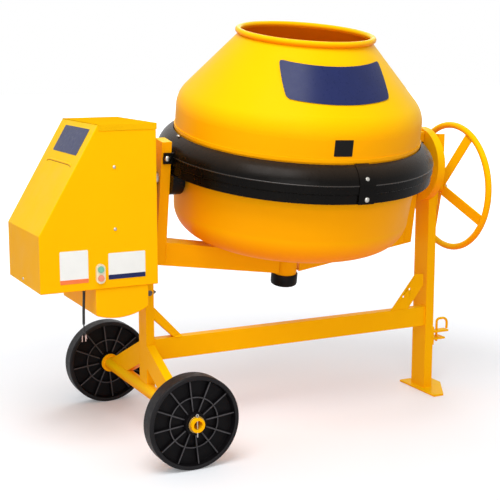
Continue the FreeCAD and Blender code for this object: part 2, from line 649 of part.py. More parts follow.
def make_frame():
    """Post, leg, beam, braces, axle tube, foot and the tilt bearings' bracket."""
    wall = D.plate_wall
    post_half, leg_half = D.post_depth / 2, D.leg_depth / 2
    post_out = D.post_x + D.post_width
    axle = rod("y", -400, 400, D.axle_r, (D.axle_x, D.wheel_r))
    post = cut(block((D.post_x, -post_half, D.wheel_r), (post_out, post_half, D.post_top)),
               block((D.post_x + wall, -post_half + wall, 0), (post_out + 1, post_half - wall, D.post_top + 1)),
               rod("x", D.post_x - 5, D.post_x + 10, D.trunnion_r + 2, (0, D.axis_z)), axle)
    node("left_post", "upright", post)
    beam_end = size_of(post_out)
    beam_top = D.beam_low + D.beam_high
    beam = channel("xz", rectangle(beam_end, D.leg_x, D.beam_low, beam_top),
                   rectangle(beam_end - 1, D.leg_x + 1, D.beam_low + wall, beam_top - wall),
                   -post_half, D.beam_deep, wall)
    node("main_beam", "upright", beam)
    leg = cut(block((D.leg_x, -leg_half, D.foot_plate), (D.leg_x + D.leg_width, leg_half, D.post_top)),
              block((D.leg_x + wall, -leg_half + wall, 0), (D.leg_x + 60, leg_half - wall, D.post_top + 1)),
              rod("x", D.leg_x - 5, D.leg_x + 20, D.trunnion_r + 2, (0, D.axis_z)),
              rod("x", D.leg_x - 5, D.leg_x + 20, D.hand_shaft_r + 2, (0, D.axis_z - D.hand_drop)))
    node("right_leg", "upright", leg)
    foot = prism("xy", [(585, -145), (633, -145), (722, 0), (722, 60), (633, 105), (585, 105)], 0, D.foot_plate)
    node("foot_plate", "upright", foot)
    brace_y, low = -post_half, beam_top
    left_rise = 122
    node("beam_brace_left", "upright", prism("xz", [
        (beam_end, low + left_rise), (beam_end, low + left_rise - 47),
        (beam_end + 78, low), (beam_end + 113, low)], brace_y, 30))
    flat = prism("xz", [(437, low), (521, low), (593, low + 92), (593, low + 139), (554, low + 143)], brace_y, 6)
    holes = [rod("y", -60, 20, 4.5, at) for at in ((527, 438), (498, 409))]
    node("beam_brace_right", "upright", cut(flat, *holes))
    for label, side in (("axle_brace_front", -1), ("axle_brace_rear", 1)):
        top_end = D.brace_top - D.brace_slope * (D.brace_end - post_half)
        low_reach = post_half + (D.brace_deep - D.brace_top + D.wheel_r) / D.brace_slope * -1
        low_at = D.brace_top - D.brace_deep
        outer = [(post_half * side, D.brace_top), (post_half * side, low_at), (low_reach * side, D.wheel_r),
                 (D.brace_end * side, D.wheel_r), (D.brace_end * side, top_end)]
        skin = wall * 1.1
        inner = [(post_half * side - side, D.brace_top - skin + D.brace_slope),
                 (post_half * side - side, low_at + skin + D.brace_slope),
                 (low_reach * side + 12 * side, D.wheel_r), (D.brace_end * side + side, D.wheel_r - 1),
                 (D.brace_end * side + side, top_end - skin - D.brace_slope)]
        if side < 0:
            outer, inner = outer[::-1], inner[::-1]
        brace = channel("yz", outer, inner, D.post_x, D.post_width, wall)
        node(label, "upright", cut(brace, rod("y", -400, 400, D.axle_r, (D.axle_x, D.wheel_r))))
    node("axle_tube", "upright", cut(
        tube("y", -D.axle_end, D.axle_end, D.axle_r, D.axle_bore, (D.axle_x, D.wheel_r)),
        rod("z", 0, 300, 3, (D.axle_x, -D.axle_end + 8)), rod("z", 0, 300, 3, (D.axle_x, D.axle_end - 8))))
    hub_half = D.wheel_width / 2 + 8
    collars, washers = [], []
    for side in (-1, 1):
        inner = (D.wheel_y - hub_half - 8) * side
        outer = (D.wheel_y + hub_half + 1) * side
        low, high = (inner, inner + 7 * side) if side > 0 else (inner - 7, inner)
        collars.append(tube("y", low, high, 36, D.axle_r, (D.axle_x, D.wheel_r)))
        low, high = (outer, outer + 3) if side > 0 else (outer - 3, outer)
        washers.append(tube("y", low, high, 34, D.axle_r, (D.axle_x, D.wheel_r)))
    node("axle_collars", "upright", *collars, *washers)


def make_bearings():
    """Trunnion bearings, handwheel bush, shaft bearing and the cover of the tilt gears."""
    gap = D.run_gap
    post_out = D.post_x + D.post_width
    half = D.bearing_r
    barrel = rod("x", D.post_x + 5, post_out + 8, half - 2, (0, D.axis_z))
    flange = block((post_out, -D.post_depth / 2, D.axis_z - 46), (post_out + 7, D.post_depth / 2, D.axis_z + 46))
    node("left_bearing", "upright", cut(fuse(barrel, flange),
         rod("x", -700, -500, D.trunnion_r + gap, (0, D.axis_z))))
    barrel = rod("x", D.leg_x + 5, D.leg_x + 50, half, (0, D.axis_z))
    node("right_bearing", "upright", cut(barrel, rod("x", 500, 700, D.trunnion_r + gap, (0, D.axis_z))))
    node("handwheel_bush", "upright", tube("x", D.leg_x + 5, D.leg_x + 52, 20, D.hand_shaft_r + gap,
                                           (0, D.axis_z - D.hand_drop)))
    cover_r = 150
    cover = cut(rod("x", 570, D.leg_x, cover_r, (0, D.axis_z)),
                rod("x", 573, D.leg_x + 1, cover_r - 3, (0, D.axis_z)),
                rod("x", 560, 580, D.trunnion_r + 6, (0, D.axis_z)))
    node("tilt_gear_cover", "upright", cover)
    leg_out = D.leg_x + D.leg_width
    leg_half = D.leg_depth / 2
    plate = fuse(block((leg_out, -leg_half, 780), (leg_out + 6, leg_half, 1070)),
                 block((leg_out, -leg_half, 996), (leg_out + 30, -leg_half + 6, 1070)),
                 block((leg_out, leg_half - 6, 996), (leg_out + 30, leg_half, 1070)))
    node("bearing_bracket", "upright", cut(plate, rod("x", 600, 700, half, (0, D.axis_z)),
                                            rod("x", 600, 700, 20, (0, D.axis_z - D.hand_drop))))
    shaft_bearing = fuse(rod("x", D.box_right - 26, D.box_right - 3, 36, (0, D.axis_z)),
                         block((D.box_right - 13, -38, D.axis_z - 62), (D.box_right - 3, 38, D.axis_z + 62)))
    node("shaft_bearing", "upright", cut(shaft_bearing, rod("x", -800, -600, D.drive_r + gap, (0, D.axis_z))))


def make_hitch():
    """Two lugs on a cross plate and the bent drop pin that goes down through both."""
    leg_out = D.leg_x + D.leg_width
    plate = block((leg_out, -47, 190), (leg_out + 6, 47, 268))
    upper = block((leg_out + 5, -34, D.hitch_lug), (D.hitch_x + 24, 34, D.hitch_lug + 8))
    lower = block((leg_out + 5, -30, D.hitch_lug - 28), (D.hitch_x + 16, 30, D.hitch_lug - 20))
    bore = rod("z", 150, 300, D.hitch_pin_r + 1, (D.hitch_x, 0))
    node("hitch_bracket", "upright", cut(fuse(plate, upper, lower), bore))
    bend = 18
    top = D.hitch_lug + 62
    shank = rod("z", D.hitch_lug - 42, top - bend, D.hitch_pin_r, (D.hitch_x, 0))
    arm = rod("x", leg_out + 6, D.hitch_x - bend, D.hitch_pin_r, (0, top))
    collar = rod("z", D.hitch_lug + 8.3, D.hitch_lug + 14, 12, (D.hitch_x, 0))
    corner = doc.addObject("Part::Torus", "Bend")
    bind(corner, "Radius1", bend)
    bind(corner, "Radius2", D.hitch_pin_r)
    corner.Angle3 = 90
    place(corner, (D.hitch_x - bend, 0, top - bend), FreeCAD.Rotation(X_AXIS, 90))
    node("hitch_pin", "upright", fuse(shank, arm, corner, collar))


# ---------------------------------------------------------------- motor housing
def housing_outline(inset, low, high):
    """Front view of the housing: straight inner wall, slanted upper corner on the outer side."""
    rise = (D.box_high - D.box_kink) / (D.box_peak - D.box_left)
    left, right = D.box_left + inset, D.box_right - inset
    peak = D.box_left + (size_of(high) - D.box_kink) / rise + size_of(inset) * 1.16
    return [(left, low), (right, low), (right, high), (peak, high), (left, D.box_kink + inset * 0.58)]


def make_housing():
    """Sheet housing over the belt drive, its cap, lower pan, switch, cord gland and brackets."""
    wall = D.sheet_wall
    deep = D.box_back - D.box_front
    shell = cut(prism("xz", housing_outline(0, D.box_low, D.box_high), D.box_front, deep),
                prism("xz", housing_outline(wall, D.box_low + wall, D.box_high + 1), D.box_front + wall, deep - wall * 2),
                block((D.pan_left + wall, -195, D.box_low - 1), (D.pan_right - wall, 172, D.box_low + wall + 1)),
                rod("x", -700, -600, 36, (0, D.axis_z)),
                rod("z", 590, 620, 9, (-901, -150)))
    node("motor_housing", "upright", shell)
    cap = fuse(block((D.box_peak, D.box_front - 2, D.box_high), (D.box_right + 2, D.box_back + 2, D.box_high + 2)),
               block((D.box_peak + 2, D.box_front - 2, D.box_high - 20), (D.box_right + 2, D.box_front, D.box_high + 1)),
               block((D.box_peak + 2, D.box_back, D.box_high - 20), (D.box_right + 2, D.box_back + 2, D.box_high + 1)),
               block((D.box_right, D.box_front - 2, D.box_high - 20), (D.box_right + 2, D.box_back + 2, D.box_high + 1)))
    node("housing_cap", "upright", cap)
    def pan_outline(inset, top):
        radius = D.pan_r - inset
        left, right = D.pan_left + inset, D.pan_right - inset
        left_drop = math.sqrt(radius.value ** 2 - (left.value - D.pan_x.value) ** 2)
        right_drop = math.sqrt(radius.value ** 2 - (right.value - D.pan_x.value) ** 2)
        return [(right, D.pan_z - right_drop), (right, top), (left, top), (left, D.pan_z - left_drop),
                (right, D.pan_z - right_drop, radius, -1)][1:]
    pan = cut(prism("xz", pan_outline(size_of(0), D.box_low), -200, 376),
              prism("xz", pan_outline(D.sheet_wall, D.box_low + 1), -200 + wall, 376 - wall * 2))
    node("lower_pan", "upright", pan)
    brackets = [block((D.box_right, -37, low), (D.post_x, 37, low + 6)) for low in (660, 1030 - 50)]
    tab = block((D.pan_right, -37, 552), (D.post_x, -33, 600))
    node("housing_brackets", "upright", *brackets, tab)
    switch = fuse(block((D.switch_x - 16, D.box_front - 9, D.switch_z - 18),
                        (D.switch_x + 16, D.box_front, D.switch_z + 18)),
                  *[rod("y", D.box_front - 9, D.box_front, 16, (D.switch_x, D.switch_z + rise)) for rise in (-18, 18)])
    bores = [rod("y", D.box_front - 20, D.box_front - 3, D.button_r + 0.4, (D.switch_x, D.switch_z + rise))
             for rise in (-15, 15)]
    node("switch_body", "upright", cut(switch, *bores))
    for label, rise in (("start_button", 15), ("stop_button", -15)):
        node(label, "upright", rod("y", D.box_front - 13, D.box_front - 7, D.button_r, (D.switch_x, D.switch_z + rise)))
    gland = fuse(rod("z", D.box_low - 12, D.box_low + 8, 8.9, (-901, -150)),
                 rod("z", D.box_low - 4, D.box_low, 13, (-901, -150)))
    node("cord_gland", "upright", gland)
    motor = fuse(rod("x", -1030, D.belt_x - 50, D.motor_r, (-10, D.motor_z)),
                 rod("x", -1052, -1029, D.motor_r - 6, (-10, D.motor_z)),
                 block((-1000, -90, D.box_low + wall), (-860, 70, D.box_low + 30)),
                 block((-960, -70, D.motor_z + 60), (-880, 50, D.motor_z + 112)))
    node("motor", "upright", cut(motor, rod("x", D.belt_x - 90, D.belt_x, 14, (-10, D.motor_z))))
    node("motor_shaft", "upright", rod("x", D.belt_x - 85, D.belt_x + 22, 12, (-10, D.motor_z)))
    rim, recess, back, bore = pulley(D.belt_x, D.small_pulley_r, 20, 12, (-10, D.motor_z))
    groove = tube("x", D.belt_x - 7, D.belt_x + 7, D.small_pulley_r + 1, D.small_pulley_r - 11, (-10, D.motor_z))
    node("motor_pulley", "upright", cut(rim, bore, groove))
    big, small = D.big_pulley_r - 10.5, D.small_pulley_r - 10.5
    belt = cut(belt_loop(big + D.belt_deep, small + D.belt_deep, 12), belt_loop(big, small, 14))
    node("drive_belt", "upright", belt)


def belt_loop(big, small, width):
    """The solid inside a belt's line: two pulleys' discs and the straight runs between them."""
    dy, dz = -10.0, D.motor_z.value - D.axis_z.value
    span = math.hypot(dy, dz)
    lean = math.asin((big.value - small.value) / span)
    along = math.atan2(dz, dy)
    corners = []
    for radius, at in ((big.value, (0.0, D.axis_z.value)), (small.value, (dy, D.motor_z.value))):
        for side in (-1, 1):
            angle = along + side * (math.pi / 2 - lean)
            corners.append((at[0] + radius * math.cos(angle), at[1] + radius * math.sin(angle)))
    start = D.belt_x - width / 2
    web = prism("yz", [corners[0], corners[2], corners[3], corners[1]], start, width)
    return fuse(web, rod("x", start, start + width, big, (0, D.axis_z)),
                rod("x", start, start + width, small, (dy, D.motor_z)))


# ---------------------------------------------------------------- handwheel
def make_handwheel():
    """Dished handwheel, its shaft, and the pinion that meshes below the tilt gear."""
    height = D.axis_z - D.hand_drop
    node("handwheel_rim", "upright", hoop(D.rim_r, D.bead_r, (D.rim_x, 0, height), "x"))
    spokes = []
    for index in range(4):
        spoke = prism("xz", [(D.spoke_x - 3, 20), (D.spoke_x + 3, 20),
                             (D.rim_x + 3, D.rim_r - 6), (D.rim_x - 3, D.rim_r - 6)], -15, 30)
        spoke.Placement = FreeCAD.Placement(Vector(0, 0, height.value),
                                            FreeCAD.Rotation(X_AXIS, D.first_spoke.value - 90 + 90 * index))
        spoke.setExpression("Placement.Base.z", height.text)
        spokes.append(cut(spoke, rod("x", D.spoke_x - 14, D.spoke_x + 14, 24, (0, height)),
                          hoop(D.rim_r, D.bead_r, (D.rim_x, 0, height), "x")))
    node("handwheel_spokes", "upright", *spokes)
    hub = cut(rod("x", D.spoke_x - 14, D.spoke_x + 14, 24, (0, height)),
              rod("x", D.spoke_x - 20, D.spoke_x + 20, D.hand_shaft_r, (0, height)))
    node("handwheel_hub", "upright", hub)
    shaft = fuse(rod("x", D.gear_start - 3, D.spoke_x + 24, D.hand_shaft_r, (0, height)),
                 rod("x", D.spoke_x + 14, D.spoke_x + 24, 17, (0, height)))
    node("handwheel_shaft", "upright", shaft)
    teeth = int(D.hand_teeth.value)
    pitch_r = D.hand_drop.value * teeth / (D.tilt_teeth.value + teeth)
    pinion = spur_gear(teeth, pitch_r, math.pi / 2 + math.pi / teeth, D.hand_shaft_r.value)
    pinion.translate(Vector(0, 0, height.value))
    node("tilt_pinion", "upright", fixed_shape("TiltPinionShape", pinion))


# ---------------------------------------------------------------- wheels
def wheel(side):
    """One-piece moulded wheel: tyre rim, dished web, hub, mid ring and twelve ribs a side."""
    rib_count, rib = 12, 5
    half = D.wheel_width / 2
    bore = D.axle_r + D.run_gap
    body = turned("xz", [
        (bore, -half - 8), (38, -half - 8), (42, -10), (86, -5), (86, -20), (91, -20), (91, -5),
        (D.wheel_r - 22, -5), (D.wheel_r - 16, -half), (D.wheel_r - 4, -half), (D.wheel_r, -half + 5),
        (D.wheel_r, half - 5), (D.wheel_r - 4, half), (D.wheel_r - 16, half), (D.wheel_r - 22, 5),
        (91, 5), (91, 20), (86, 20), (86, 5), (42, 10), (38, half + 8), (bore, half + 8)], "V_Axis")
    ribs = []
    for index in range(rib_count):
        blade = prism("xz", [(37, -22), (D.wheel_r - 18, -19), (D.wheel_r - 18, 19), (37, 22)], -rib / 2, rib)
        blade.Placement = FreeCAD.Placement(Vector(), FreeCAD.Rotation(Z_AXIS, index * 360 / rib_count))
        ribs.append(blade)
    whole = fuse(body, *ribs)
    place(whole, (D.axle_x, D.wheel_y * side, D.wheel_r), FreeCAD.Rotation(X_AXIS, 90))
    return whole


# ---------------------------------------------------------------- power cord
CORD_ROUTE = [(-901, -150, 590), (-902, -150, 555), (-904.5, -150.5, 515), (-905, -151, 472)]
CORD_R = 4.75
CORE_ROUTES = [
    [(-905, -151, 472), (-907, -152, 452), (-913, -156, 433), (-914, -157, 412)],
    [(-906.5, -153, 472), (-906, -155, 450), (-903, -160, 432), (-903, -163, 414)],
    [(-903.5, -149, 472), (-902, -148, 452), (-896, -146, 434), (-894, -146, 418)],
]
CORE_R = 1.4


def route_tube(points, radius):
    """A tube along straight runs joined by tangent arcs, each as large as its two runs allow."""
    points = [Vector(*point) for point in points]
    edges, start, radii = [], points[0], []
    for before, at, after in zip(points, points[1:], points[2:]):
        back, ahead = (before - at), (after - at)
        turn = math.pi - back.getAngle(ahead)
        reach = 0.45 * min(back.Length, ahead.Length)
        radii.append(round(reach / math.tan(turn / 2), 1))
        first = at + back.normalize() * reach
        last = at + ahead.normalize() * reach
        bulge = (first + last) * 0.5
        middle = at + (bulge - at).normalize() * (radii[-1] / math.cos(turn / 2) - radii[-1])
        edges += [Part.LineSegment(start, first).toShape(), Part.Arc(first, middle, last).toShape()]
        start = last
    edges.append(Part.LineSegment(start, points[-1]).toShape())
    path = Part.Wire(edges)
    heading = (points[1] - points[0]).normalize()
    ring = Part.Wire([Part.makeCircle(radius, points[0], heading)])
    solid = path.makePipeShell([ring], True, False)
    print("cord radii", radii, "length", round(path.Length, 1),
          "fill", round(solid.Volume / (math.pi * radius ** 2 * path.Length), 3))
    return solid


def make_cord():
    """A short lead that hangs from the gland, with its three cores fanned out."""
    node("power_cord", "upright", fixed_shape("CordShape", route_tube(CORD_ROUTE, CORD_R)))
    cores = [fixed_shape("CoreShape", route_tube(route, CORE_R)) for route in CORE_ROUTES]
    node("cord_cores", "upright", *cores)


def check_and_write():
    """Refuse a failed object, then write one STEP file per sub-part."""
    doc.recompute()
    for item in doc.Objects:
        if "Invalid" in item.State or "Error" in item.State:
            raise RuntimeError(f"{item.Name} failed: {item.State}")
    os.makedirs("parts", exist_ok=True)
    for item in NODES:
        shape = item.Shape
        if shape.isNull() or not shape.isValid() or not shape.Solids:
            raise RuntimeError(f"{item.Label} has no valid solid")
        shape.exportStep(os.path.join("parts", item.Label + ".step"))
        print(f"{item.Label}: {len(shape.Solids)} solids, {shape.Volume / 1e6:.3f} l, {shape.BoundBox}")


make_drum()
make_yoke()
make_guard()
make_drive()
make_frame()
make_bearings()
make_hitch()
make_housing()
make_handwheel()
node("wheel_front", "upright", wheel(-1))
node("wheel_rear", "upright", wheel(1))
make_cord()
check_and_write()
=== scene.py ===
"""Concrete mixer: materials, fasteners, bare plates, cord, floor, light and camera round the CAD frame."""
import math

import bmesh
import bpy
from mathutils import Matrix, Vector


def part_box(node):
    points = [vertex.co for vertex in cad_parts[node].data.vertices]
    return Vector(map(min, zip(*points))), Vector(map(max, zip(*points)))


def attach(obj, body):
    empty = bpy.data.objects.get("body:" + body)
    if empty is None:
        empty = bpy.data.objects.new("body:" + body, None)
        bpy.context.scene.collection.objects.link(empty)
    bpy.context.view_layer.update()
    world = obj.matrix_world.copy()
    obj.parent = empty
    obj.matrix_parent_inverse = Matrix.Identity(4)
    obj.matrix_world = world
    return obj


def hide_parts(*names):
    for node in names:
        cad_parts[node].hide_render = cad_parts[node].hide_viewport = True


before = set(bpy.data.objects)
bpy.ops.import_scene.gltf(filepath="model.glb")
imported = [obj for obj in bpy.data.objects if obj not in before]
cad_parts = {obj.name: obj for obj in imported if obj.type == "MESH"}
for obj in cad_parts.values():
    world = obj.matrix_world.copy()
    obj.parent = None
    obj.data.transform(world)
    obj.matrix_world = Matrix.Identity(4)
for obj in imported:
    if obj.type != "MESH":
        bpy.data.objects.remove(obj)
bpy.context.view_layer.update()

# Driving places. TILT is an angle, ORIGIN and TILT_HEIGHT are metres, and the rest are millimetres in the
# mixer's own frame.
TILT = math.radians(9.5)
ORIGIN = Vector((0.161, 0.0095, 0.0))
TILT_HEIGHT = 0.948
LEAN = Matrix.Translation(ORIGIN + Vector((0, 0, TILT_HEIGHT))) @ Matrix.Rotation(TILT, 4, "X")
AXLE_X, AXLE_Z, WHEEL_Y, PIN_Y = -623, 165, 429, 476
HOUSING_FRONT, HOUSING_BACK = -206, 184
POST_INSIDE, LEG_INSIDE, LEG_OUTSIDE, BEAM_FRONT, BEAM_BACK = -599, 604, 649, -37.5, 2.5
HANDWHEEL_Z = 848
AHEAD, BACK, UP = Vector((0, -1, 0)), Vector((0, 1, 0)), Vector((0, 0, 1))
RIGHT, LEFT, DOWN = Vector((1, 0, 0)), Vector((-1, 0, 0)), Vector((0, 0, -1))


def local(x, y, z):
    """A point given in millimetres from the drum axis, the tilt axis and the ground."""
    return ORIGIN + Vector((x, y, z)) / 1000


def leaning(x, y, z):
    """A point given in millimetres in the drum's own leaning frame."""
    return LEAN @ (Vector((x, y, z)) / 1000)


def lean_turn(direction):
    """A direction of the drum's own leaning frame."""
    return (LEAN.to_3x3() @ Vector(direction)).normalized()


# ---------------------------------------------------------------- materials
class Nodes:
    """A material's node tree, with short names for the few nodes used here."""

    def __init__(self, name):
        self.material = bpy.data.materials.new(name)
        self.material.use_nodes = True
        self.tree = self.material.node_tree
        self.shader = self.tree.nodes["Principled BSDF"]
        place = self.tree.nodes.new("ShaderNodeTexCoord")
        self.coords, self.facing = place.outputs["Object"], place.outputs["Normal"]

    def add(self, kind, **settings):
        made = self.tree.nodes.new("ShaderNode" + kind)
        for key, value in settings.items():
            if key in made.inputs:
                made.inputs[key].default_value = value
            else:
                setattr(made, key, value)
        return made

    def link(self, out, into):
        self.tree.links.new(out, into)

    def noise(self, scale, detail=3.0, stretch=None):
        texture = self.add("TexNoise", Scale=scale, Detail=detail)
        where = self.coords
        if stretch:
            mapping = self.add("Mapping")
            mapping.inputs["Scale"].default_value = stretch
            self.link(self.coords, mapping.inputs["Vector"])
            where = mapping.outputs["Vector"]
        self.link(where, texture.inputs["Vector"])
        return texture.outputs["Fac"]

    def ramp(self, factor, stops):
        ramp = self.add("ValToRGB")
        elements = ramp.color_ramp.elements
        while len(elements) < len(stops):
            elements.new(0.5)
        for element, (place, color) in zip(elements, stops):
            element.position = place
            element.color = (*color, 1)
        self.link(factor, ramp.inputs["Fac"])
        return ramp.outputs["Color"]

    def level(self, factor, low, high, start=0.3, end=0.7):
        spread = self.add("MapRange")
        for name, value in (("From Min", start), ("From Max", end), ("To Min", low), ("To Max", high)):
            spread.inputs[name].default_value = value
        self.link(factor, spread.inputs["Value"])
        return spread.outputs["Result"]

    def height(self, vector):
        """The Z of a vector socket."""
        split = self.add("SeparateXYZ")
        self.link(vector, split.inputs[0])
        return split.outputs["Z"]

    def mix(self, factor, first, second):
        """A blend from first to second, each a colour or a socket."""
        mix = self.add("Mix", data_type="RGBA")
        self.link(factor, mix.inputs[0])
        for value, socket in ((first, mix.inputs[6]), (second, mix.inputs[7])):
            if isinstance(value, tuple):
                socket.default_value = (*value, 1)
            else:
                self.link(value, socket)
        return mix.outputs[2]

    def bump(self, height, strength, distance):
        bump = self.add("Bump", Strength=strength, Distance=distance)
        self.link(height, bump.inputs["Height"])
        self.link(bump.outputs["Normal"], self.shader.inputs["Normal"])


def shade(color, factor):
    return tuple(min(1.0, channel * factor) for channel in color)


def finish_material(name, color, rough, metal=0.0, spread=0.08, noise=6.0, grain=400.0, depth=0.00005,
                    strength=0.3, coat=0.0, stretch=None, under=None, over=None, below=None, gloss=0.5,
                    tint=None):
    """A surface with uneven colour, uneven gloss and a fine grain.

    under is a painted shade, a deeper colour mixed in on faces that look down; over is a painted highlight, a
    lighter colour mixed in on faces that look up; and below is a height in metres and the colour under it.
    """
    nodes = Nodes(name)
    nodes.shader.inputs["Base Color"].default_value = (*color, 1)
    nodes.shader.inputs["Specular IOR Level"].default_value = gloss
    if tint:
        nodes.shader.inputs["Specular Tint"].default_value = (*tint, 1)
    blotch = nodes.noise(noise, 5.0, stretch)
    color_out = nodes.ramp(blotch, [(0.3, shade(color, 1 - spread)), (0.7, shade(color, 1 + spread))])
    # Painted shade: faces that look down turn towards the under colour.
    if under:
        painted_light_by_facing = nodes.level(nodes.height(nodes.facing), 0.0, 1.0, -0.75, 0.55)
        color_out = nodes.mix(painted_light_by_facing, under, color_out)
    # Painted highlight: faces that look up turn towards the over colour.
    if over:
        painted_light_by_facing = nodes.level(nodes.height(nodes.facing), 0.0, 1.0, 0.3, 0.85)
        color_out = nodes.mix(painted_light_by_facing, color_out, over)
    if below:
        limit, lower = below
        above = nodes.level(nodes.height(nodes.coords), 0.0, 1.0, limit - 0.001, limit + 0.001)
        color_out = nodes.mix(above, lower, color_out)
    nodes.link(color_out, nodes.shader.inputs["Base Color"])
    nodes.link(nodes.level(nodes.noise(noise * 4, 4.0, stretch), rough * 0.85, min(1.0, rough * 1.2)),
               nodes.shader.inputs["Roughness"])
    nodes.bump(nodes.noise(grain, 2.0, stretch), strength, depth)
    nodes.shader.inputs["Metallic"].default_value = metal
    nodes.shader.inputs["Coat Weight"].default_value = coat
    nodes.shader.inputs["Coat Roughness"].default_value = 0.12
    return nodes.material


YELLOW = (1.0, 0.585, 0.001)
# The drum's yellow is the same enamel painted a little darker, as shade against the top light.
DRUM_YELLOW_PAINTED_DARKER = (1.0, 0.55, 0.001)
# The painted shade that the enamels take on faces that look down.
PAINTED_SHADE_AMBER = (1.0, 0.27, 0.001)
GOLD_SHEEN = (1.0, 0.80, 0.25)
NAVY = (0.010, 0.017, 0.085)
MATERIALS = {
    "paint": finish_material("yellow_enamel", YELLOW, 0.42, spread=0.03, noise=3.0, grain=160, depth=0.0002,
                             strength=0.12, under=PAINTED_SHADE_AMBER, gloss=0.05, tint=GOLD_SHEEN),
    # The lid's enamel is painted darker and more orange than the yellow, as shade against the top light.
    "shaded_lid_paint": finish_material("lid_enamel_painted_darker", (0.80, 0.42, 0.003), 0.45, spread=0.03, noise=3.0,
                                  grain=160, depth=0.0002, strength=0.12, gloss=0.0),
    "drum_paint": finish_material("spun_steel_enamel_painted_darker", DRUM_YELLOW_PAINTED_DARKER, 0.38, spread=0.03, noise=2.0,
                                  grain=90, depth=0.0003, strength=0.10, under=PAINTED_SHADE_AMBER, gloss=0.06,
                                  tint=GOLD_SHEEN),
    # The guard's over colour is a painted warm highlight on its faces that look up.
    "guard": finish_material("moulded_guard_plastic", (0.0032, 0.0024, 0.0018), 0.28, spread=0.25,
                             noise=9.0, grain=900, depth=0.0001, strength=0.2, over=(0.026, 0.016, 0.009),
                             gloss=0.09),
    # The guard's ridge bead is coloured lighter than the guard plastic as a painted highlight.
    "edge": finish_material("guard_ridge_painted_highlight", (0.020, 0.014, 0.010), 0.22, spread=0.2, noise=9.0,
                            grain=900, depth=0.0001, strength=0.1, gloss=0.5),
    "cap": finish_material("moulded_cap_plastic", (0.005, 0.0045, 0.004), 0.38, spread=0.2, grain=900,
                           gloss=0.12),
    "tyre": finish_material("wheel_plastic", (0.0085, 0.0075, 0.0085), 0.48, spread=0.25, noise=14.0,
                            grain=700, depth=0.0002, strength=0.3, gloss=0.18),
    # The bay and rib colours are the wheel plastic painted darker as shade inside the lip and lighter as
    # highlight on the rib edges.
    "bay": finish_material("wheel_web_painted_shade", (0.0042, 0.0036, 0.0042), 0.5, spread=0.25, noise=14.0,
                           grain=700, depth=0.0002, strength=0.3, gloss=0.10),
    "rib": finish_material("wheel_rib_painted_highlight", (0.050, 0.046, 0.049), 0.45, spread=0.25, noise=30.0,
                           grain=700, depth=0.0002, strength=0.3, gloss=0.3),
    "cast": finish_material("cast_iron", (0.16, 0.15, 0.14), 0.55, metal=0.8, spread=0.2, noise=18.0,
                            grain=260, depth=0.0004, strength=0.4),
    "steel": finish_material("turned_steel", (0.55, 0.54, 0.52), 0.3, metal=1.0, spread=0.12, grain=1200,
                             stretch=(1, 1, 12)),
    "zinc": finish_material("zinc_plate", (0.55, 0.53, 0.48), 0.3, metal=1.0, spread=0.15, noise=30.0,
                            grain=900),
    "alloy": finish_material("motor_casting", (0.32, 0.33, 0.34), 0.5, metal=0.7, spread=0.15, grain=300),
    "belt": finish_material("belt_rubber", (0.015, 0.015, 0.015), 0.7, spread=0.3, grain=900),
    "cord": finish_material("cord_sheath", (0.008, 0.008, 0.009), 0.5, spread=0.25, noise=40.0, grain=1500),
    "switch": finish_material("switch_surround", (0.78, 0.68, 0.46), 0.35, spread=0.08, noise=50.0,
                              coat=0.5),
    "green": finish_material("green_button", (0.16, 0.47, 0.30), 0.3, spread=0.1, noise=60.0, coat=0.6),
    "red": finish_material("red_button", (0.80, 0.24, 0.13), 0.3, spread=0.1, noise=60.0, coat=0.6),
    "navy": finish_material("navy_plate", NAVY, 0.30, spread=0.06, noise=20.0, gloss=0.2),
    "white": finish_material("white_plate", (0.80, 0.79, 0.75), 0.4, spread=0.02, noise=20.0, gloss=0.2),
    "orange": finish_material("orange_band", (0.85, 0.17, 0.03), 0.4, spread=0.05, noise=20.0),
    "black": finish_material("black_plate", (0.006, 0.005, 0.004), 0.35, spread=0.1, noise=30.0,
                             gloss=0.15),
    "dark": finish_material("shadow_gap", (0.30, 0.09, 0.002), 0.8, spread=0.2, noise=60.0),
    "copper": finish_material("bared_cores", (0.012, 0.012, 0.013), 0.4, spread=0.2, noise=200.0,
                              below=(0.434, (0.62, 0.42, 0.37))),
    "washer": finish_material("plated_washer", (0.42, 0.27, 0.07), 0.4, metal=0.6, spread=0.2, noise=40.0,
                              grain=900),
}

CAD_FINISH = {
    "drum_paint": "drum_cone mouth_bead drum_bowl",
    "guard": "ring_guard_left ring_guard_right guard_strap_front guard_strap_rear pinion_cover",
    "cap": "hub_cap",
    "shaded_lid_paint": "housing_cap",
    "tyre": "wheel_front wheel_rear",
    "cast": "left_bearing right_bearing handwheel_bush shaft_bearing large_pulley motor_pulley ring_gear "
            "bevel_pinion tilt_gear tilt_pinion",
    "steel": "drive_shaft motor_shaft handwheel_shaft drum_spindle left_trunnion right_trunnion",
    "alloy": "motor",
    "belt": "drive_belt",
    "cord": "cord_gland power_cord",
    "copper": "cord_cores",
    "switch": "switch_body",
    "green": "start_button",
    "red": "stop_button",
}


FOLDED = ("motor_housing housing_cap left_post right_leg main_beam axle_brace_front axle_brace_rear "
          "foot_plate beam_brace_left beam_brace_right yoke_left_arm yoke_right_arm bearing_bracket")
FOLD_RADIUS = {"motor_housing": 0.006, "housing_cap": 0.0015}
CHANNEL_FOLD = 0.0016


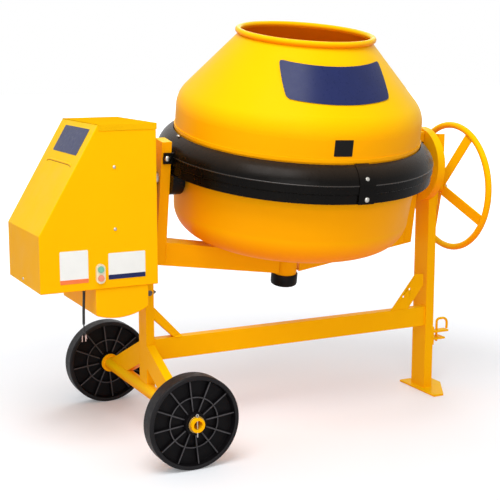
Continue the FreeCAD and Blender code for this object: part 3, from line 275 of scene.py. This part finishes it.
def round_folds():
    """Rounds the sharp CAD edges of folded sheet and rolled channel by a little, as real folds are."""
    for name in FOLDED.split():
        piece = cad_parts[name]
        join = piece.modifiers.new("join", "WELD")
        join.merge_threshold = 0.00002
        round_edge = piece.modifiers.new("fold", "BEVEL")
        round_edge.width = FOLD_RADIUS.get(name, CHANNEL_FOLD)
        round_edge.segments = 3
        round_edge.limit_method = "ANGLE"
        round_edge.angle_limit = math.radians(25)
        round_edge.use_clamp_overlap = True
        round_edge.harden_normals = False
        even = piece.modifiers.new("even", "WEIGHTED_NORMAL")
        even.keep_sharp = False
        even.weight = 100


def paint_cad_nodes():
    """Gives every CAD node its finish; what no list names wears the yellow enamel."""
    for name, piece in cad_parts.items():
        finish = next((key for key, names in CAD_FINISH.items() if name in names.split()), "paint")
        piece.data.materials.clear()
        piece.data.materials.append(MATERIALS[finish])


# ---------------------------------------------------------------- small pieces
def make_piece(name, mesh_builder, finish, body, smooth=35):
    """A new mesh piece: mesh_builder fills the bmesh, in metres in the shared frame."""
    form = bmesh.new()
    mesh_builder(form)
    bmesh.ops.recalc_face_normals(form, faces=form.faces)
    mesh = bpy.data.meshes.new(name)
    form.to_mesh(mesh)
    form.free()
    mesh.materials.append(MATERIALS[finish])
    for polygon in mesh.polygons:
        polygon.use_smooth = True
    mesh.set_sharp_from_angle(angle=math.radians(smooth))
    piece = bpy.data.objects.new(name, mesh)
    bpy.context.scene.collection.objects.link(piece)
    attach(piece, body)
    return piece


def circle(count, radius=1.0):
    """Points (across, up) evenly round a circle."""
    turns = [2 * math.pi * step / count for step in range(count)]
    return [(radius * math.cos(turn), radius * math.sin(turn)) for turn in turns]


def skin(form, rings):
    """The faces between each closed ring of points and the next."""
    faces = []
    for low, high in zip(rings, rings[1:]):
        for index in range(len(low)):
            after = (index + 1) % len(low)
            faces.append(form.faces.new((low[index], low[after], high[after], high[index])))
    return faces


def close_ends(form, rings):
    """A face over the first ring and one over the last."""
    form.faces.new(rings[0][::-1])
    form.faces.new(rings[-1])


def place_on(at, axis):
    """The frame whose Z is the axis and whose origin is the point."""
    return Matrix.Translation(at) @ Vector(axis).normalized().to_track_quat("Z", "Y").to_matrix().to_4x4()


def turned_about(form, at, axis, profile, segments, twist=0.0):
    """Turns a profile of (radius, height) points about an axis through a point; six segments: a hexagon."""
    place = place_on(at, axis) @ Matrix.Rotation(twist, 4, "Z")
    rings = [[form.verts.new(place @ Vector((x, y, height))) for x, y in circle(segments, radius)]
             for radius, height in profile]
    skin(form, rings)
    close_ends(form, rings)


def ring_about(form, at, axis, loop, segments):
    """Turns a closed loop of (radius, along) points about an axis through a point; returns the new faces."""
    place = place_on(at, axis)
    rings = [[form.verts.new(place @ Vector((radius * x, radius * y, along))) for radius, along in loop]
             for x, y in circle(segments)]
    return skin(form, rings + rings[:1])


def bar(form, start, end, across, width, thick):
    """A flat bar from start to end, its width measured along across; returns its faces."""
    ahead = (end - start).normalized()
    side = (across - ahead * across.dot(ahead)).normalized()
    rise = ahead.cross(side)
    corners = [form.verts.new(point + side * (width / 2 * a) + rise * (thick / 2 * b))
               for point in (start, end) for a, b in ((-1, -1), (1, -1), (1, 1), (-1, 1))]
    return [form.faces.new([corners[index] for index in face]) for face in
            ((0, 1, 2, 3), (7, 6, 5, 4), (0, 4, 5, 1), (1, 5, 6, 2), (2, 6, 7, 3), (3, 7, 4, 0))]


def direction_at(points, index):
    """The way a route runs at one of its points."""
    return (points[min(index + 1, len(points) - 1)] - points[max(index - 1, 0)]).normalized()


def rod_along(form, points, radius, sides=16):
    """A round rod along points that lie in one plane across Y."""
    rings = []
    for index, point in enumerate(points):
        side = direction_at(points, index).cross(BACK).normalized()
        rings.append([form.verts.new(point + side * across + BACK * back)
                      for across, back in circle(sides, radius)])
    skin(form, rings)
    close_ends(form, rings)


def soften(piece, width, segments=2):
    """A small round on every sharp edge of a piece."""
    edge = piece.modifiers.new("edge", "BEVEL")
    edge.width = width
    edge.segments = segments
    edge.limit_method = "ANGLE"
    edge.angle_limit = math.radians(30)


def hex_bolt(form, at, axis, across, washer, stub=0.0):
    """A washer, a chamfered hexagon and, for a nut, the rounded end of its screw."""
    thick = across * 0.42
    radius = across / math.sqrt(3)
    turned_about(form, at, axis, [(washer, -0.0004), (washer, 0.0012), (washer * 0.94, 0.0016)], 28)
    turned_about(form, at, axis, [(radius, 0.0014), (radius, thick), (radius * 0.86, thick + 0.0009)], 6, 0.3)
    if stub:
        thread, end = radius * 0.52, thick + stub
        turned_about(form, at, axis, [(thread, thick), (thread, end), (radius * 0.40, end + 0.001)], 20)


def dome_bolt(form, at, axis, radius):
    """A coach bolt's domed head."""
    steps, rim, rise = 6, 0.0008, radius * 0.55
    turns = [math.pi / 2 * step / steps for step in range(1, steps)]
    dome = [(radius, -0.0004), (radius, rim)]
    dome += [(radius * math.cos(turn), rim + rise * math.sin(turn)) for turn in turns]
    dome.append((0.0006, rim + rise))
    turned_about(form, at, axis, dome, 28)


def rounded_sheet(form, surface, width, height, corner, columns=24, rows=14, thick=0.0006):
    """A thin plate with rounded corners laid on surface(across, up, lift), in metres from its middle."""
    layers = []
    for lift in (0.0, thick):
        grid = []
        for row in range(rows + 1):
            wave = 0.5 - 0.5 * math.cos(math.pi * row / rows)
            up = (wave - 0.5) * height
            gap = height / 2 - abs(up)
            inset = corner - math.sqrt(max(0.0, corner ** 2 - (corner - gap) ** 2)) if gap < corner else 0.0
            half = width / 2 - inset
            grid.append([form.verts.new(surface((column / columns * 2 - 1) * half, up, lift))
                         for column in range(columns + 1)])
        layers.append(grid)
    low, high = layers
    for row in range(rows):
        for column in range(columns):
            for grid in layers:
                form.faces.new((grid[row][column], grid[row][column + 1], grid[row + 1][column + 1],
                                grid[row + 1][column]))
    rim = ([(0, column) for column in range(columns)] + [(row, columns) for row in range(rows)]
           + [(rows, column) for column in range(columns, 0, -1)] + [(row, 0) for row in range(rows, 0, -1)])
    for (row, column), (next_row, next_column) in zip(rim, rim[1:] + rim[:1]):
        form.faces.new((low[row][column], low[next_row][next_column], high[next_row][next_column],
                        high[row][column]))


def flat_surface(middle, across, up):
    """A flat place for a plate: its outward side is across x up."""
    outward = across.cross(up).normalized()
    return lambda a, u, lift: middle + across * a + up * u + outward * (lift + 0.0002)


def bent_strip(form, points, normal, width, thick):
    """A ribbon along points with a half-round back towards normal: a weld bead or a folded lip."""
    half_circle = circle(12)[:7]
    rings = []
    for index, point in enumerate(points):
        side = direction_at(points, index).cross(normal).normalized()
        rings.append([form.verts.new(point + side * (width / 2 * across) + normal * (thick * rise))
                      for across, rise in half_circle])
    skin(form, rings)
    close_ends(form, rings)


WELD_WIDTH, WELD_THICK = 0.007, 0.0028


def weld(form, start, end, normal):
    """A weld bead with the ripple of its passes, from start to end."""
    steps = max(6, int((end - start).length / 0.004))
    ripple = [0.0004 * math.sin(step * 2.1) for step in range(steps + 1)]
    points = [start.lerp(end, step / steps) + normal * rise for step, rise in enumerate(ripple)]
    bent_strip(form, points, normal, WELD_WIDTH, WELD_THICK)


# ---------------------------------------------------------------- bare plates
CONE_LOW, CONE_HIGH = (436.5, 303.0), (251.0, 523.0)
DRUM_R = 465.0
PANEL_W, PANEL_H = 0.400, 0.150
PANEL_ANGLE, LOW_HALF_ANGLE, TOP_HALF_ANGLE = -96.5, 29.7, 39.5
PANEL_FOOT, PANEL_RISE, PANEL_BOW = 341, 115, 11
BAND_PLATE_ANGLE, BAND_PLATE_HEIGHT = -98.8, 204


def cone_point(angle, height, lift):
    """A point on the drum's cone, angle in degrees about the drum's axis, height and lift in millimetres."""
    share = (height - CONE_LOW[1]) / (CONE_HIGH[1] - CONE_LOW[1])
    radius = CONE_LOW[0] + (CONE_HIGH[0] - CONE_LOW[0]) * share + lift
    turn = math.radians(angle)
    return leaning(radius * math.cos(turn), radius * math.sin(turn), height + lift * 0.8)


def panel_on_cone(across, up, lift):
    """The big plate's place: it follows the cone, and its long edges bow."""
    share = 0.5 + up / PANEL_H
    half_angle = LOW_HALF_ANGLE + (TOP_HALF_ANGLE - LOW_HALF_ANGLE) * share
    reach = across / (PANEL_W / 2)
    height = PANEL_FOOT + PANEL_RISE * share + PANEL_BOW * reach ** 2
    return cone_point(PANEL_ANGLE + half_angle * reach, height, 0.6 + lift * 1000)


def plate_on_cylinder(across, up, lift):
    """The small plate's place on the drum's middle band."""
    angle = math.radians(BAND_PLATE_ANGLE) + across * 1000 / DRUM_R
    radius = DRUM_R + 0.4 + lift * 1000
    return leaning(radius * math.cos(angle), radius * math.sin(angle), BAND_PLATE_HEIGHT + up * 1000)


def make_drum_plates():
    """The big plate on the drum's cone and the small one on its middle band, both left bare."""
    make_piece("cone_panel", lambda form: rounded_sheet(form, panel_on_cone, PANEL_W, PANEL_H, 0.014, 48),
               "navy", "drum")
    make_piece("drum_plate", lambda form: rounded_sheet(form, plate_on_cylinder, 0.068, 0.058, 0.002),
               "black", "drum")


LABELS = (("label_left", -951.5, 686, 0.099, 0.112, 0.014, "orange"),
          ("label_right", -763, 679, 0.134, 0.091, 0.016, "navy"))


def make_labels():
    """The two white plates on the housing's front, each with a coloured band along its foot and left bare."""
    for name, x, z, width, height, band, finish in LABELS:
        place = flat_surface(local(x, HOUSING_FRONT, z), RIGHT, UP)
        make_piece(name, lambda form, place=place, width=width, height=height:
                   rounded_sheet(form, place, width, height, 0.002, 4, 8), "white", "chassis")
        low = flat_surface(local(x, HOUSING_FRONT - 0.5, z) + DOWN * (height / 2 - band / 2), RIGHT, UP)
        make_piece(name + "_band", lambda form, low=low, width=width, band=band:
                   rounded_sheet(form, low, width, band, 0.001, 4, 6), finish, "chassis")


def make_slope_details():
    """The bare plate on the housing's sloping side, and the folded lip with its slot below it."""
    slope = Vector((0.213, 0, 0.362)).normalized()
    foot = local(-1070, -24, 798)
    lip_up, lip_droop, lip_step = 0.266, 0.006, 0.0113
    square = flat_surface(foot + slope * 0.350, AHEAD, slope)
    make_piece("slope_panel", lambda form: rounded_sheet(form, square, 0.262, 0.100, 0.002, 6, 6),
               "navy", "chassis")
    outward = AHEAD.cross(slope).normalized()
    lip = []
    for step in range(-12, 13):
        droop = lip_droop * min(1.0, max(0.0, (abs(step) - 9) / 3)) ** 2
        lip.append(foot + slope * (lip_up - droop) + BACK * (step * lip_step))
    slot = [point - slope * 0.0042 for point in lip]
    make_piece("vent_lip", lambda form: bent_strip(form, lip, outward, 0.007, 0.0022), "paint", "chassis")
    # The slot is a dark strip painted as the shade inside it.
    make_piece("vent_slot", lambda form: bent_strip(form, slot, outward, 0.0022, 0.0006), "dark", "chassis")


# ---------------------------------------------------------------- fasteners and welds
GUARD_R, GUARD_RIDGE = 525, 89
LUG_X, LUG_Y, LUG_Z = 547, -44, 82
GUARD_TOP_R, GUARD_TOP, GUARD_TOP_BOLTS = 478, 146.5, (177, 3, 60, 120)


def make_guard_bolts():
    """The guard's bolts, its two lug washers, and its moulded edge, a bead with a painted highlight."""
    lugs = [leaning(LUG_X * side, LUG_Y, LUG_Z) for side in (-1, 1)]

    def bolts(form):
        for lug in lugs:
            dome_bolt(form, lug, lean_turn(AHEAD), 0.011)
        for sign in (-1, 1):
            dome_bolt(form, leaning(0, (GUARD_R + 3) * sign, 36), lean_turn(BACK * sign), 0.0095)
            dome_bolt(form, leaning(0, (GUARD_R - 9) * sign, 106), lean_turn((0, 0.87 * sign, 0.5)), 0.0095)
        for angle in GUARD_TOP_BOLTS:
            turn = math.radians(angle)
            x, y = GUARD_TOP_R * math.cos(turn), GUARD_TOP_R * math.sin(turn)
            dome_bolt(form, leaning(x, y, GUARD_TOP), lean_turn(UP), 0.008)
    make_piece("guard_bolts", bolts, "zinc", "yoke")

    def edges(form):
        loop = [((GUARD_R - 1.2) / 1000 + across, along) for across, along in circle(8, 0.0026)]
        ring_about(form, leaning(0, 0, GUARD_RIDGE - 4), lean_turn(UP), loop, 160)
    make_piece("guard_moulded_edge", edges, "edge", "yoke", 60)

    def washers(form):
        profile = [(0.0165, -0.001), (0.0165, 0.0014), (0.015, 0.002)]
        for lug in lugs:
            turned_about(form, lug, lean_turn(AHEAD), profile, 32)
    make_piece("lug_washers", washers, "cap", "yoke")


def make_housing_fasteners():
    """The screws of the motor housing and the bolts of the bearing on the post."""
    def build(form):
        for x, z in ((-802, 1018), (-803, 806)):
            dome_bolt(form, local(x, HOUSING_FRONT, z), AHEAD, 0.006)
        dome_bolt(form, local(-1070, 0, 622), LEFT, 0.005)
        for z in (690, 920, 1110):
            dome_bolt(form, local(-648, 150, z), RIGHT, 0.005)
        for x in (-820, -700):
            for z in (640, 1110):
                dome_bolt(form, local(x, HOUSING_BACK, z), BACK, 0.006)
    make_piece("housing_screws", build, "zinc", "chassis")

    def bearing(form):
        for z in (914, 982):
            for y in (-26, 26):
                hex_bolt(form, local(-592, y, z), RIGHT, 0.010, 0.0085)
    make_piece("bearing_bolts", bearing, "zinc", "chassis")


def make_pan_fasteners():
    """The tab between the pan and the post, and the two bolts on the post below it."""
    def build(form):
        hex_bolt(form, local(-615, BEAM_FRONT, 532), AHEAD, 0.013, 0.0105, 0.003)
        hex_bolt(form, local(POST_INSIDE, -27, 533), RIGHT, 0.013, 0.0105, 0.005)
    make_piece("pan_bolts", build, "cast", "chassis")

    def flat(form):
        bar(form, local(-684, -35, 576), local(-650, -35, 576), UP, 0.048, 0.004)
    tab = make_piece("pan_tab", flat, "paint", "chassis")
    soften(tab, 0.0008)


def make_leg_fasteners():
    """The bolts of the bearing and the hitch on the leg, and the nut on the handwheel's shaft."""
    def leg(form):
        bearing, hitch = (32, (800, 1030), 0.013, 0.011), (36, (202, 256), 0.010, 0.0085)
        for reach, heights, across, washer in (bearing, hitch):
            for z in heights:
                for y in (-reach, reach):
                    hex_bolt(form, local(LEG_OUTSIDE, y, z), RIGHT, across, washer)
    make_piece("leg_bolts", leg, "zinc", "chassis")

    def hub(form):
        hex_bolt(form, local(708, 0, HANDWHEEL_Z), RIGHT, 0.019, 0.016, 0.009)
    make_piece("handwheel_nut", hub, "zinc", "handwheel")


def make_axle_pins():
    """A pin through each end of the axle tube: an eye above it and a straight end below."""
    for name, side in (("cotter_front", -1), ("cotter_rear", 1)):
        middle = local(AXLE_X, PIN_Y * side, AXLE_Z)

        def build(form, middle=middle):
            turned_about(form, middle + DOWN * 0.044, UP, [(0.0012, 0), (0.0026, 0.003), (0.0026, 0.074)], 16)
            eye = [middle + UP * (0.0325 + 0.0042 * math.sin(turn)) + RIGHT * (0.0042 * math.cos(turn))
                   for turn in [math.pi * step / 9 - math.pi / 2 for step in range(19)]]
            bent_strip(form, eye, BACK, 0.0030, 0.0020)
        make_piece(name, build, "zinc", "chassis")


WHEEL_LOOP = [(25.5, 39.5), (38, 39.5), (41, 12), (86, 7), (86, 20), (90.5, 20), (90.5, 7), (145, 7),
              (150, 30.5), (152, 31.5), (161.5, 31.5), (165, 27)]
RIB_TURN = 6
RIB_INNER, RIB_OUTER, RIB_WIDTH, RIB_THICK = 0.037, 0.149, 0.044, 0.0050
LIP_INSIDE = 0.150


def make_wheels():
    """Moulded wheels: narrow lip, sunk web, mid ring and twelve ribs a side, with painted highlight and
    shade.
    """
    loop = [(radius / 1000, along / 1000) for radius, along in WHEEL_LOOP]
    loop += [(radius, -along) for radius, along in loop[::-1]]
    for node, body, side in (("wheel_front", "front_wheel", -1), ("wheel_rear", "rear_wheel", 1)):
        middle = local(AXLE_X, WHEEL_Y * side, AXLE_Z)

        def build(form, middle=middle):
            faces = ring_about(form, middle, AHEAD, loop, 96)
            for index in range(12):
                turn = math.radians(index * 30 + RIB_TURN)
                out = Vector((math.cos(turn), 0, math.sin(turn)))
                start, end = middle + out * RIB_INNER, middle + out * RIB_OUTER
                faces += bar(form, start, end, BACK, RIB_WIDTH, RIB_THICK)
            for face in faces:
                face.normal_update()
                offset = face.calc_center_median() - middle
                outward = abs(face.normal.y) > 0.9
                # Painted highlight: the rib edges that face out along the axle take the paler rib colour.
                if outward and abs(abs(offset.y) - RIB_WIDTH / 2) < 0.004:
                    face.material_index = 1
                # Painted shade: the faces inside the lip take the darker bay colour.
                elif math.hypot(offset.x, offset.z) < LIP_INSIDE:
                    face.material_index = 2
        wheel = make_piece(node + "_moulding", build, "tyre", body, 30)
        for finish in ("rib", "bay"):
            wheel.data.materials.append(MATERIALS[finish])
        soften(wheel, 0.0008)
        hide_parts(node)


PAN_X, PAN_Z, PAN_R, PAN_LEFT, PAN_RIGHT = -796, 715, 221, -874, -683


def make_pan():
    """The round-bottomed pan under the housing."""
    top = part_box("lower_pan")[1][2] * 1000
    first, last = (math.asin((edge - PAN_X) / PAN_R) for edge in (PAN_LEFT, PAN_RIGHT))
    turns = [first + (last - first) * step / 24 for step in range(25)]
    outline = [(PAN_X + PAN_R * math.sin(turn), PAN_Z - PAN_R * math.cos(turn)) for turn in turns]
    outline += [(PAN_RIGHT, top), (PAN_LEFT, top)]

    def build(form):
        rings = [[form.verts.new(local(x, y, z)) for x, z in outline] for y in (-200, 176)]
        skin(form, rings)
        close_ends(form, rings)
    pan = make_piece("pan_sheet", build, "paint", "chassis", 20)
    soften(pan, 0.003, 3)
    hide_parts("lower_pan")


def make_hub_cap():
    """The rubber cap pushed over the lower end of the drum's hub."""
    profile = [(0.0515, 0), (0.0525, 0.0015), (0.0525, 0.038), (0.0505, 0.0445), (0.046, 0.0478),
               (0.038, 0.0490)]
    top, down = leaning(0, 0, -416), lean_turn(DOWN)
    cap = make_piece("hub_cap_rubber", lambda form: turned_about(form, top, down, profile, 64), "cap", "yoke")
    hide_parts("hub_cap")


def make_axle_rings():
    """The collars that keep the wheels in place on the axle tube, and the washers behind the split pins."""
    inner, chamfer = 0.025, 0.0008

    def rings(form, reach, outer, width):
        loop = [(inner, 0), (outer - chamfer, 0), (outer, chamfer), (outer, width - chamfer),
                (outer - chamfer, width), (inner, width)]
        for side in (-1, 1):
            ring_about(form, local(AXLE_X, reach * side, AXLE_Z), BACK * side, loop, 48)
    collars = make_piece("axle_stop_rings", lambda form: rings(form, 381.5, 0.036, 0.007), "paint", "chassis")
    washers = make_piece("axle_washers", lambda form: rings(form, 469.5, 0.0295, 0.003), "washer", "chassis")
    for piece in (collars, washers):
        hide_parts("axle_collars")


def make_handwheel():
    """The dished wheel's tubular rim and its flat spokes."""
    hub = local(0, 0, HANDWHEEL_Z)
    inner, outer = RIGHT * 0.690, RIGHT * 0.741
    loop = [(0.2525 + across, along) for across, along in circle(20, 0.013)]
    rim = make_piece("rim_tube", lambda form: ring_about(form, hub + outer, RIGHT, loop, 112), "paint",
                     "handwheel", 60)
    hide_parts("handwheel_rim")

    def build(form):
        for index in range(4):
            turn = math.radians(29.5 + 90 * index)
            out = Vector((0, math.cos(turn), math.sin(turn)))
            across = Vector((0, -math.sin(turn), math.cos(turn)))
            bar(form, hub + inner + out * 0.020, hub + outer + out * 0.244, across, 0.046, 0.006)
    spokes = make_piece("flat_spokes", build, "paint", "handwheel")
    soften(spokes, 0.0015)
    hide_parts("handwheel_spokes")


def arc(middle, radius, first, last, steps=8):
    """Points on an arc in the plane across Y, angles in degrees from +X up."""
    turns = [math.radians(first + (last - first) * step / steps) for step in range(steps + 1)]
    return [middle + Vector((math.cos(turn), 0, math.sin(turn))) * radius for turn in turns]


def make_hitch():
    """The hitch's two lugs on their cross plate, and the bent drop pin that stands on the upper lug."""
    def bracket(form):
        bar(form, local(646, 0, 190), local(646, 0, 268), BACK, 0.094, 0.006)
        bar(form, local(648, 0, 236), local(744, 0, 236), BACK, 0.036, 0.008)
        bar(form, local(648, 0, 208), local(722, 0, 208), BACK, 0.050, 0.008)
    lugs = make_piece("hitch_lugs", bracket, "paint", "chassis")
    soften(lugs, 0.0016)
    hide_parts("hitch_bracket")
    points = ([local(694, 0, 192), local(694, 0, 232)] + arc(local(708, 0, 274), 0.014, 180, 90)
              + arc(local(724, 0, 266), 0.022, 90, 0) + [local(746, 0, 258), local(745, 0, 241)])
    pin = make_piece("drop_pin_rod", lambda form: rod_along(form, points, 0.0052), "paint", "drop_pin", 60)
    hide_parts("hitch_pin")


def make_welds():
    """The beads where the chassis and the yoke are welded."""
    def frame_welds(form):
        for x, inward in ((POST_INSIDE, RIGHT), (LEG_INSIDE, LEFT)):
            for y, outward in ((BEAM_FRONT, AHEAD), (BEAM_BACK, BACK)):
                weld(form, local(x, y, 280), local(x, y, 352), (outward + inward).normalized())
            top = local(x, 0, 356) + inward * 0.001
            weld(form, top + AHEAD * 0.036, top, (UP + inward).normalized())
        for x, outward in ((LEG_INSIDE, LEFT), (643, RIGHT)):
            weld(form, local(x, -46, 8), local(x, 46, 8), (UP + outward).normalized())
        weld(form, local(606, -47, 8), local(641, -47, 8), (UP + AHEAD).normalized())
        for side in (-1, 1):
            spread = BACK * side
            weld(form, local(-629, 38 * side, 318), local(-601, 38 * side, 318), (UP + spread).normalized())
        weld(form, local(-597, -38, 440), local(-597, -10, 440), RIGHT)
        weld(form, local(-516, -37, 356.5), local(-490, -37, 356.5), (UP + AHEAD).normalized())
    make_piece("frame_welds", frame_welds, "paint", "chassis")

    def yoke_welds(form):
        for side in (-1, 1):
            out = RIGHT * side
            for y in (-34, 34):
                face = lean_turn(BACK * math.copysign(1, y))
                start, end = leaning(529 * side, y, -246), leaning(529 * side, y, -318)
                weld(form, start, end, (face - out).normalized())
            middle = 0 if side > 0 else 180
            turns = [math.radians(middle + step * 12 - 54) for step in range(10)]
            ring = [leaning(50 * math.cos(turn), 50 * math.sin(turn), -330) for turn in turns]
            bent_strip(form, ring, lean_turn(UP), 0.006, 0.0026)
    make_piece("yoke_welds", yoke_welds, "paint", "yoke")


SEAM_ANGLE = 60


def make_drum_details():
    """The weld down the cone's seam."""
    def seam(form):
        points = [cone_point(SEAM_ANGLE, height, 0.2) for height in range(312, 508, 6)]
        turn = math.radians(SEAM_ANGLE)
        outward = lean_turn((0.76 * math.cos(turn), 0.76 * math.sin(turn), 0.64))
        bent_strip(form, points, outward, 0.006, 0.0008)
    make_piece("cone_seam", seam, "drum_paint", "drum")


# ---------------------------------------------------------------- cord
CORD_ROUTE = [(-901, -150, 590), (-902, -150, 555), (-904.5, -150.5, 515), (-905, -151, 472)]
CORD_LENGTH, CORD_RADIUS = 0.118, 0.00475


def curve_piece(name, points, radius, finish):
    """A round cord whose smooth spline has the route's points as control points."""
    data = bpy.data.curves.new(name, "CURVE")
    data.dimensions = "3D"
    data.bevel_depth = radius
    data.bevel_resolution = 6
    data.resolution_u = 16
    data.use_fill_caps = True
    spline = data.splines.new("NURBS")
    spline.points.add(len(points) - 1)
    for place, point in zip(spline.points, points):
        place.co = (*local(*point), 1)
    spline.order_u = 3
    spline.use_endpoint_u = True
    data.materials.append(MATERIALS[finish])
    piece = bpy.data.objects.new(name, data)
    bpy.context.scene.collection.objects.link(piece)
    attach(piece, "chassis")
    return piece


def make_cord():
    """The mains cord, a stub that hangs under the housing with its cores bare."""
    cord = curve_piece("mains_cord", CORD_ROUTE, CORD_RADIUS, "cord")
    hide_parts("power_cord")


# ---------------------------------------------------------------- stage
AMBIENT = 0.58
LIGHTS = (("key", (-1.6, -1.9, 4.4), 2.6, 120), ("fill", (-2.2, -4.6, 2.0), 2.5, 50),
          ("rim", (2.0, 3.0, 3.4), 2.5, 40))
LIGHT_TARGET = Vector((0, 0, 0.9))
CAMERA_PLACE, CAMERA_DOWN, CAMERA_TURN, CAMERA_LENS = (-1.9415, -3.8168, 1.4135), 10.09, -26.59, 81.87


def make_floor():
    """A pale floor that glows softly where the camera sees it, more so away from the machine."""
    form = bmesh.new()
    form.faces.new([form.verts.new((x, y, 0)) for x, y in ((-30, -30), (30, -30), (30, 30), (-30, 30))])
    mesh = bpy.data.meshes.new("floor")
    form.to_mesh(mesh)
    form.free()
    floor = bpy.data.objects.new("floor", mesh)
    bpy.context.scene.collection.objects.link(floor)
    nodes = Nodes("pale_floor")
    nodes.link(nodes.ramp(nodes.noise(0.7), [(0.3, (0.82, 0.84, 0.87)), (0.7, (0.84, 0.86, 0.89))]),
               nodes.shader.inputs["Base Color"])
    nodes.shader.inputs["Roughness"].default_value = 0.8
    nodes.shader.inputs["Specular IOR Level"].default_value = 0.1
    nodes.shader.inputs["Emission Color"].default_value = (1, 1, 1, 1)
    away = nodes.add("VectorMath", operation="LENGTH")
    nodes.link(nodes.coords, away.inputs[0])
    glow = nodes.add("Math", operation="MULTIPLY")
    nodes.link(nodes.level(away.outputs["Value"], 0.14, 1.0, 1.4, 6.0), glow.inputs[0])
    nodes.link(nodes.add("LightPath").outputs["Is Camera Ray"], glow.inputs[1])
    nodes.link(glow.outputs["Value"], nodes.shader.inputs["Emission Strength"])
    mesh.materials.append(nodes.material)


def make_world():
    """A white world, brighter for the camera and for mirrored and transmitted rays than as a light."""
    world = bpy.data.worlds.new("studio")
    bpy.context.scene.world = world
    world.use_nodes = True
    tree = world.node_tree
    ambient = tree.nodes["Background"]
    ambient.inputs["Color"].default_value = (1.0, 1.0, 1.0, 1)
    path = tree.nodes.new("ShaderNodeLightPath").outputs
    seen = path["Is Camera Ray"]
    for ray in ("Is Glossy Ray", "Is Transmission Ray"):
        either = tree.nodes.new("ShaderNodeMath")
        either.operation = "MAXIMUM"
        tree.links.new(seen, either.inputs[0])
        tree.links.new(path[ray], either.inputs[1])
        seen = either.outputs["Value"]
    level = tree.nodes.new("ShaderNodeMapRange")
    level.inputs["To Min"].default_value = AMBIENT
    level.inputs["To Max"].default_value = 1.0
    tree.links.new(seen, level.inputs["Value"])
    tree.links.new(level.outputs["Result"], ambient.inputs["Strength"])


def make_lights():
    """Soft square lights, all turned to the middle of the machine."""
    for name, place, size, power in LIGHTS:
        data = bpy.data.lights.new(name, "AREA")
        data.size = size
        data.energy = power
        light = bpy.data.objects.new(name, data)
        light.location = place
        light.rotation_euler = (LIGHT_TARGET - Vector(place)).to_track_quat("-Z", "Y").to_euler()
        bpy.context.scene.collection.objects.link(light)


def make_camera():
    """A long lens at about the height of the drum's mouth, looking slightly down."""
    data = bpy.data.cameras.new("camera")
    data.lens = CAMERA_LENS
    data.sensor_width = 36
    data.clip_end = 100
    camera = bpy.data.objects.new("camera", data)
    camera.location = CAMERA_PLACE
    camera.rotation_euler = (math.radians(90 - CAMERA_DOWN), 0, math.radians(CAMERA_TURN))
    bpy.context.scene.collection.objects.link(camera)
    bpy.context.scene.camera = camera
    bpy.context.scene.view_settings.view_transform = "Standard"


paint_cad_nodes()
round_folds()
make_drum_plates()
make_labels()
make_slope_details()
make_guard_bolts()
make_housing_fasteners()
make_leg_fasteners()
make_axle_pins()
make_pan()
make_pan_fasteners()
make_hub_cap()
make_wheels()
make_axle_rings()
make_handwheel()
make_hitch()
make_welds()
make_drum_details()
make_cord()
make_floor()
make_world()
make_lights()
make_camera()
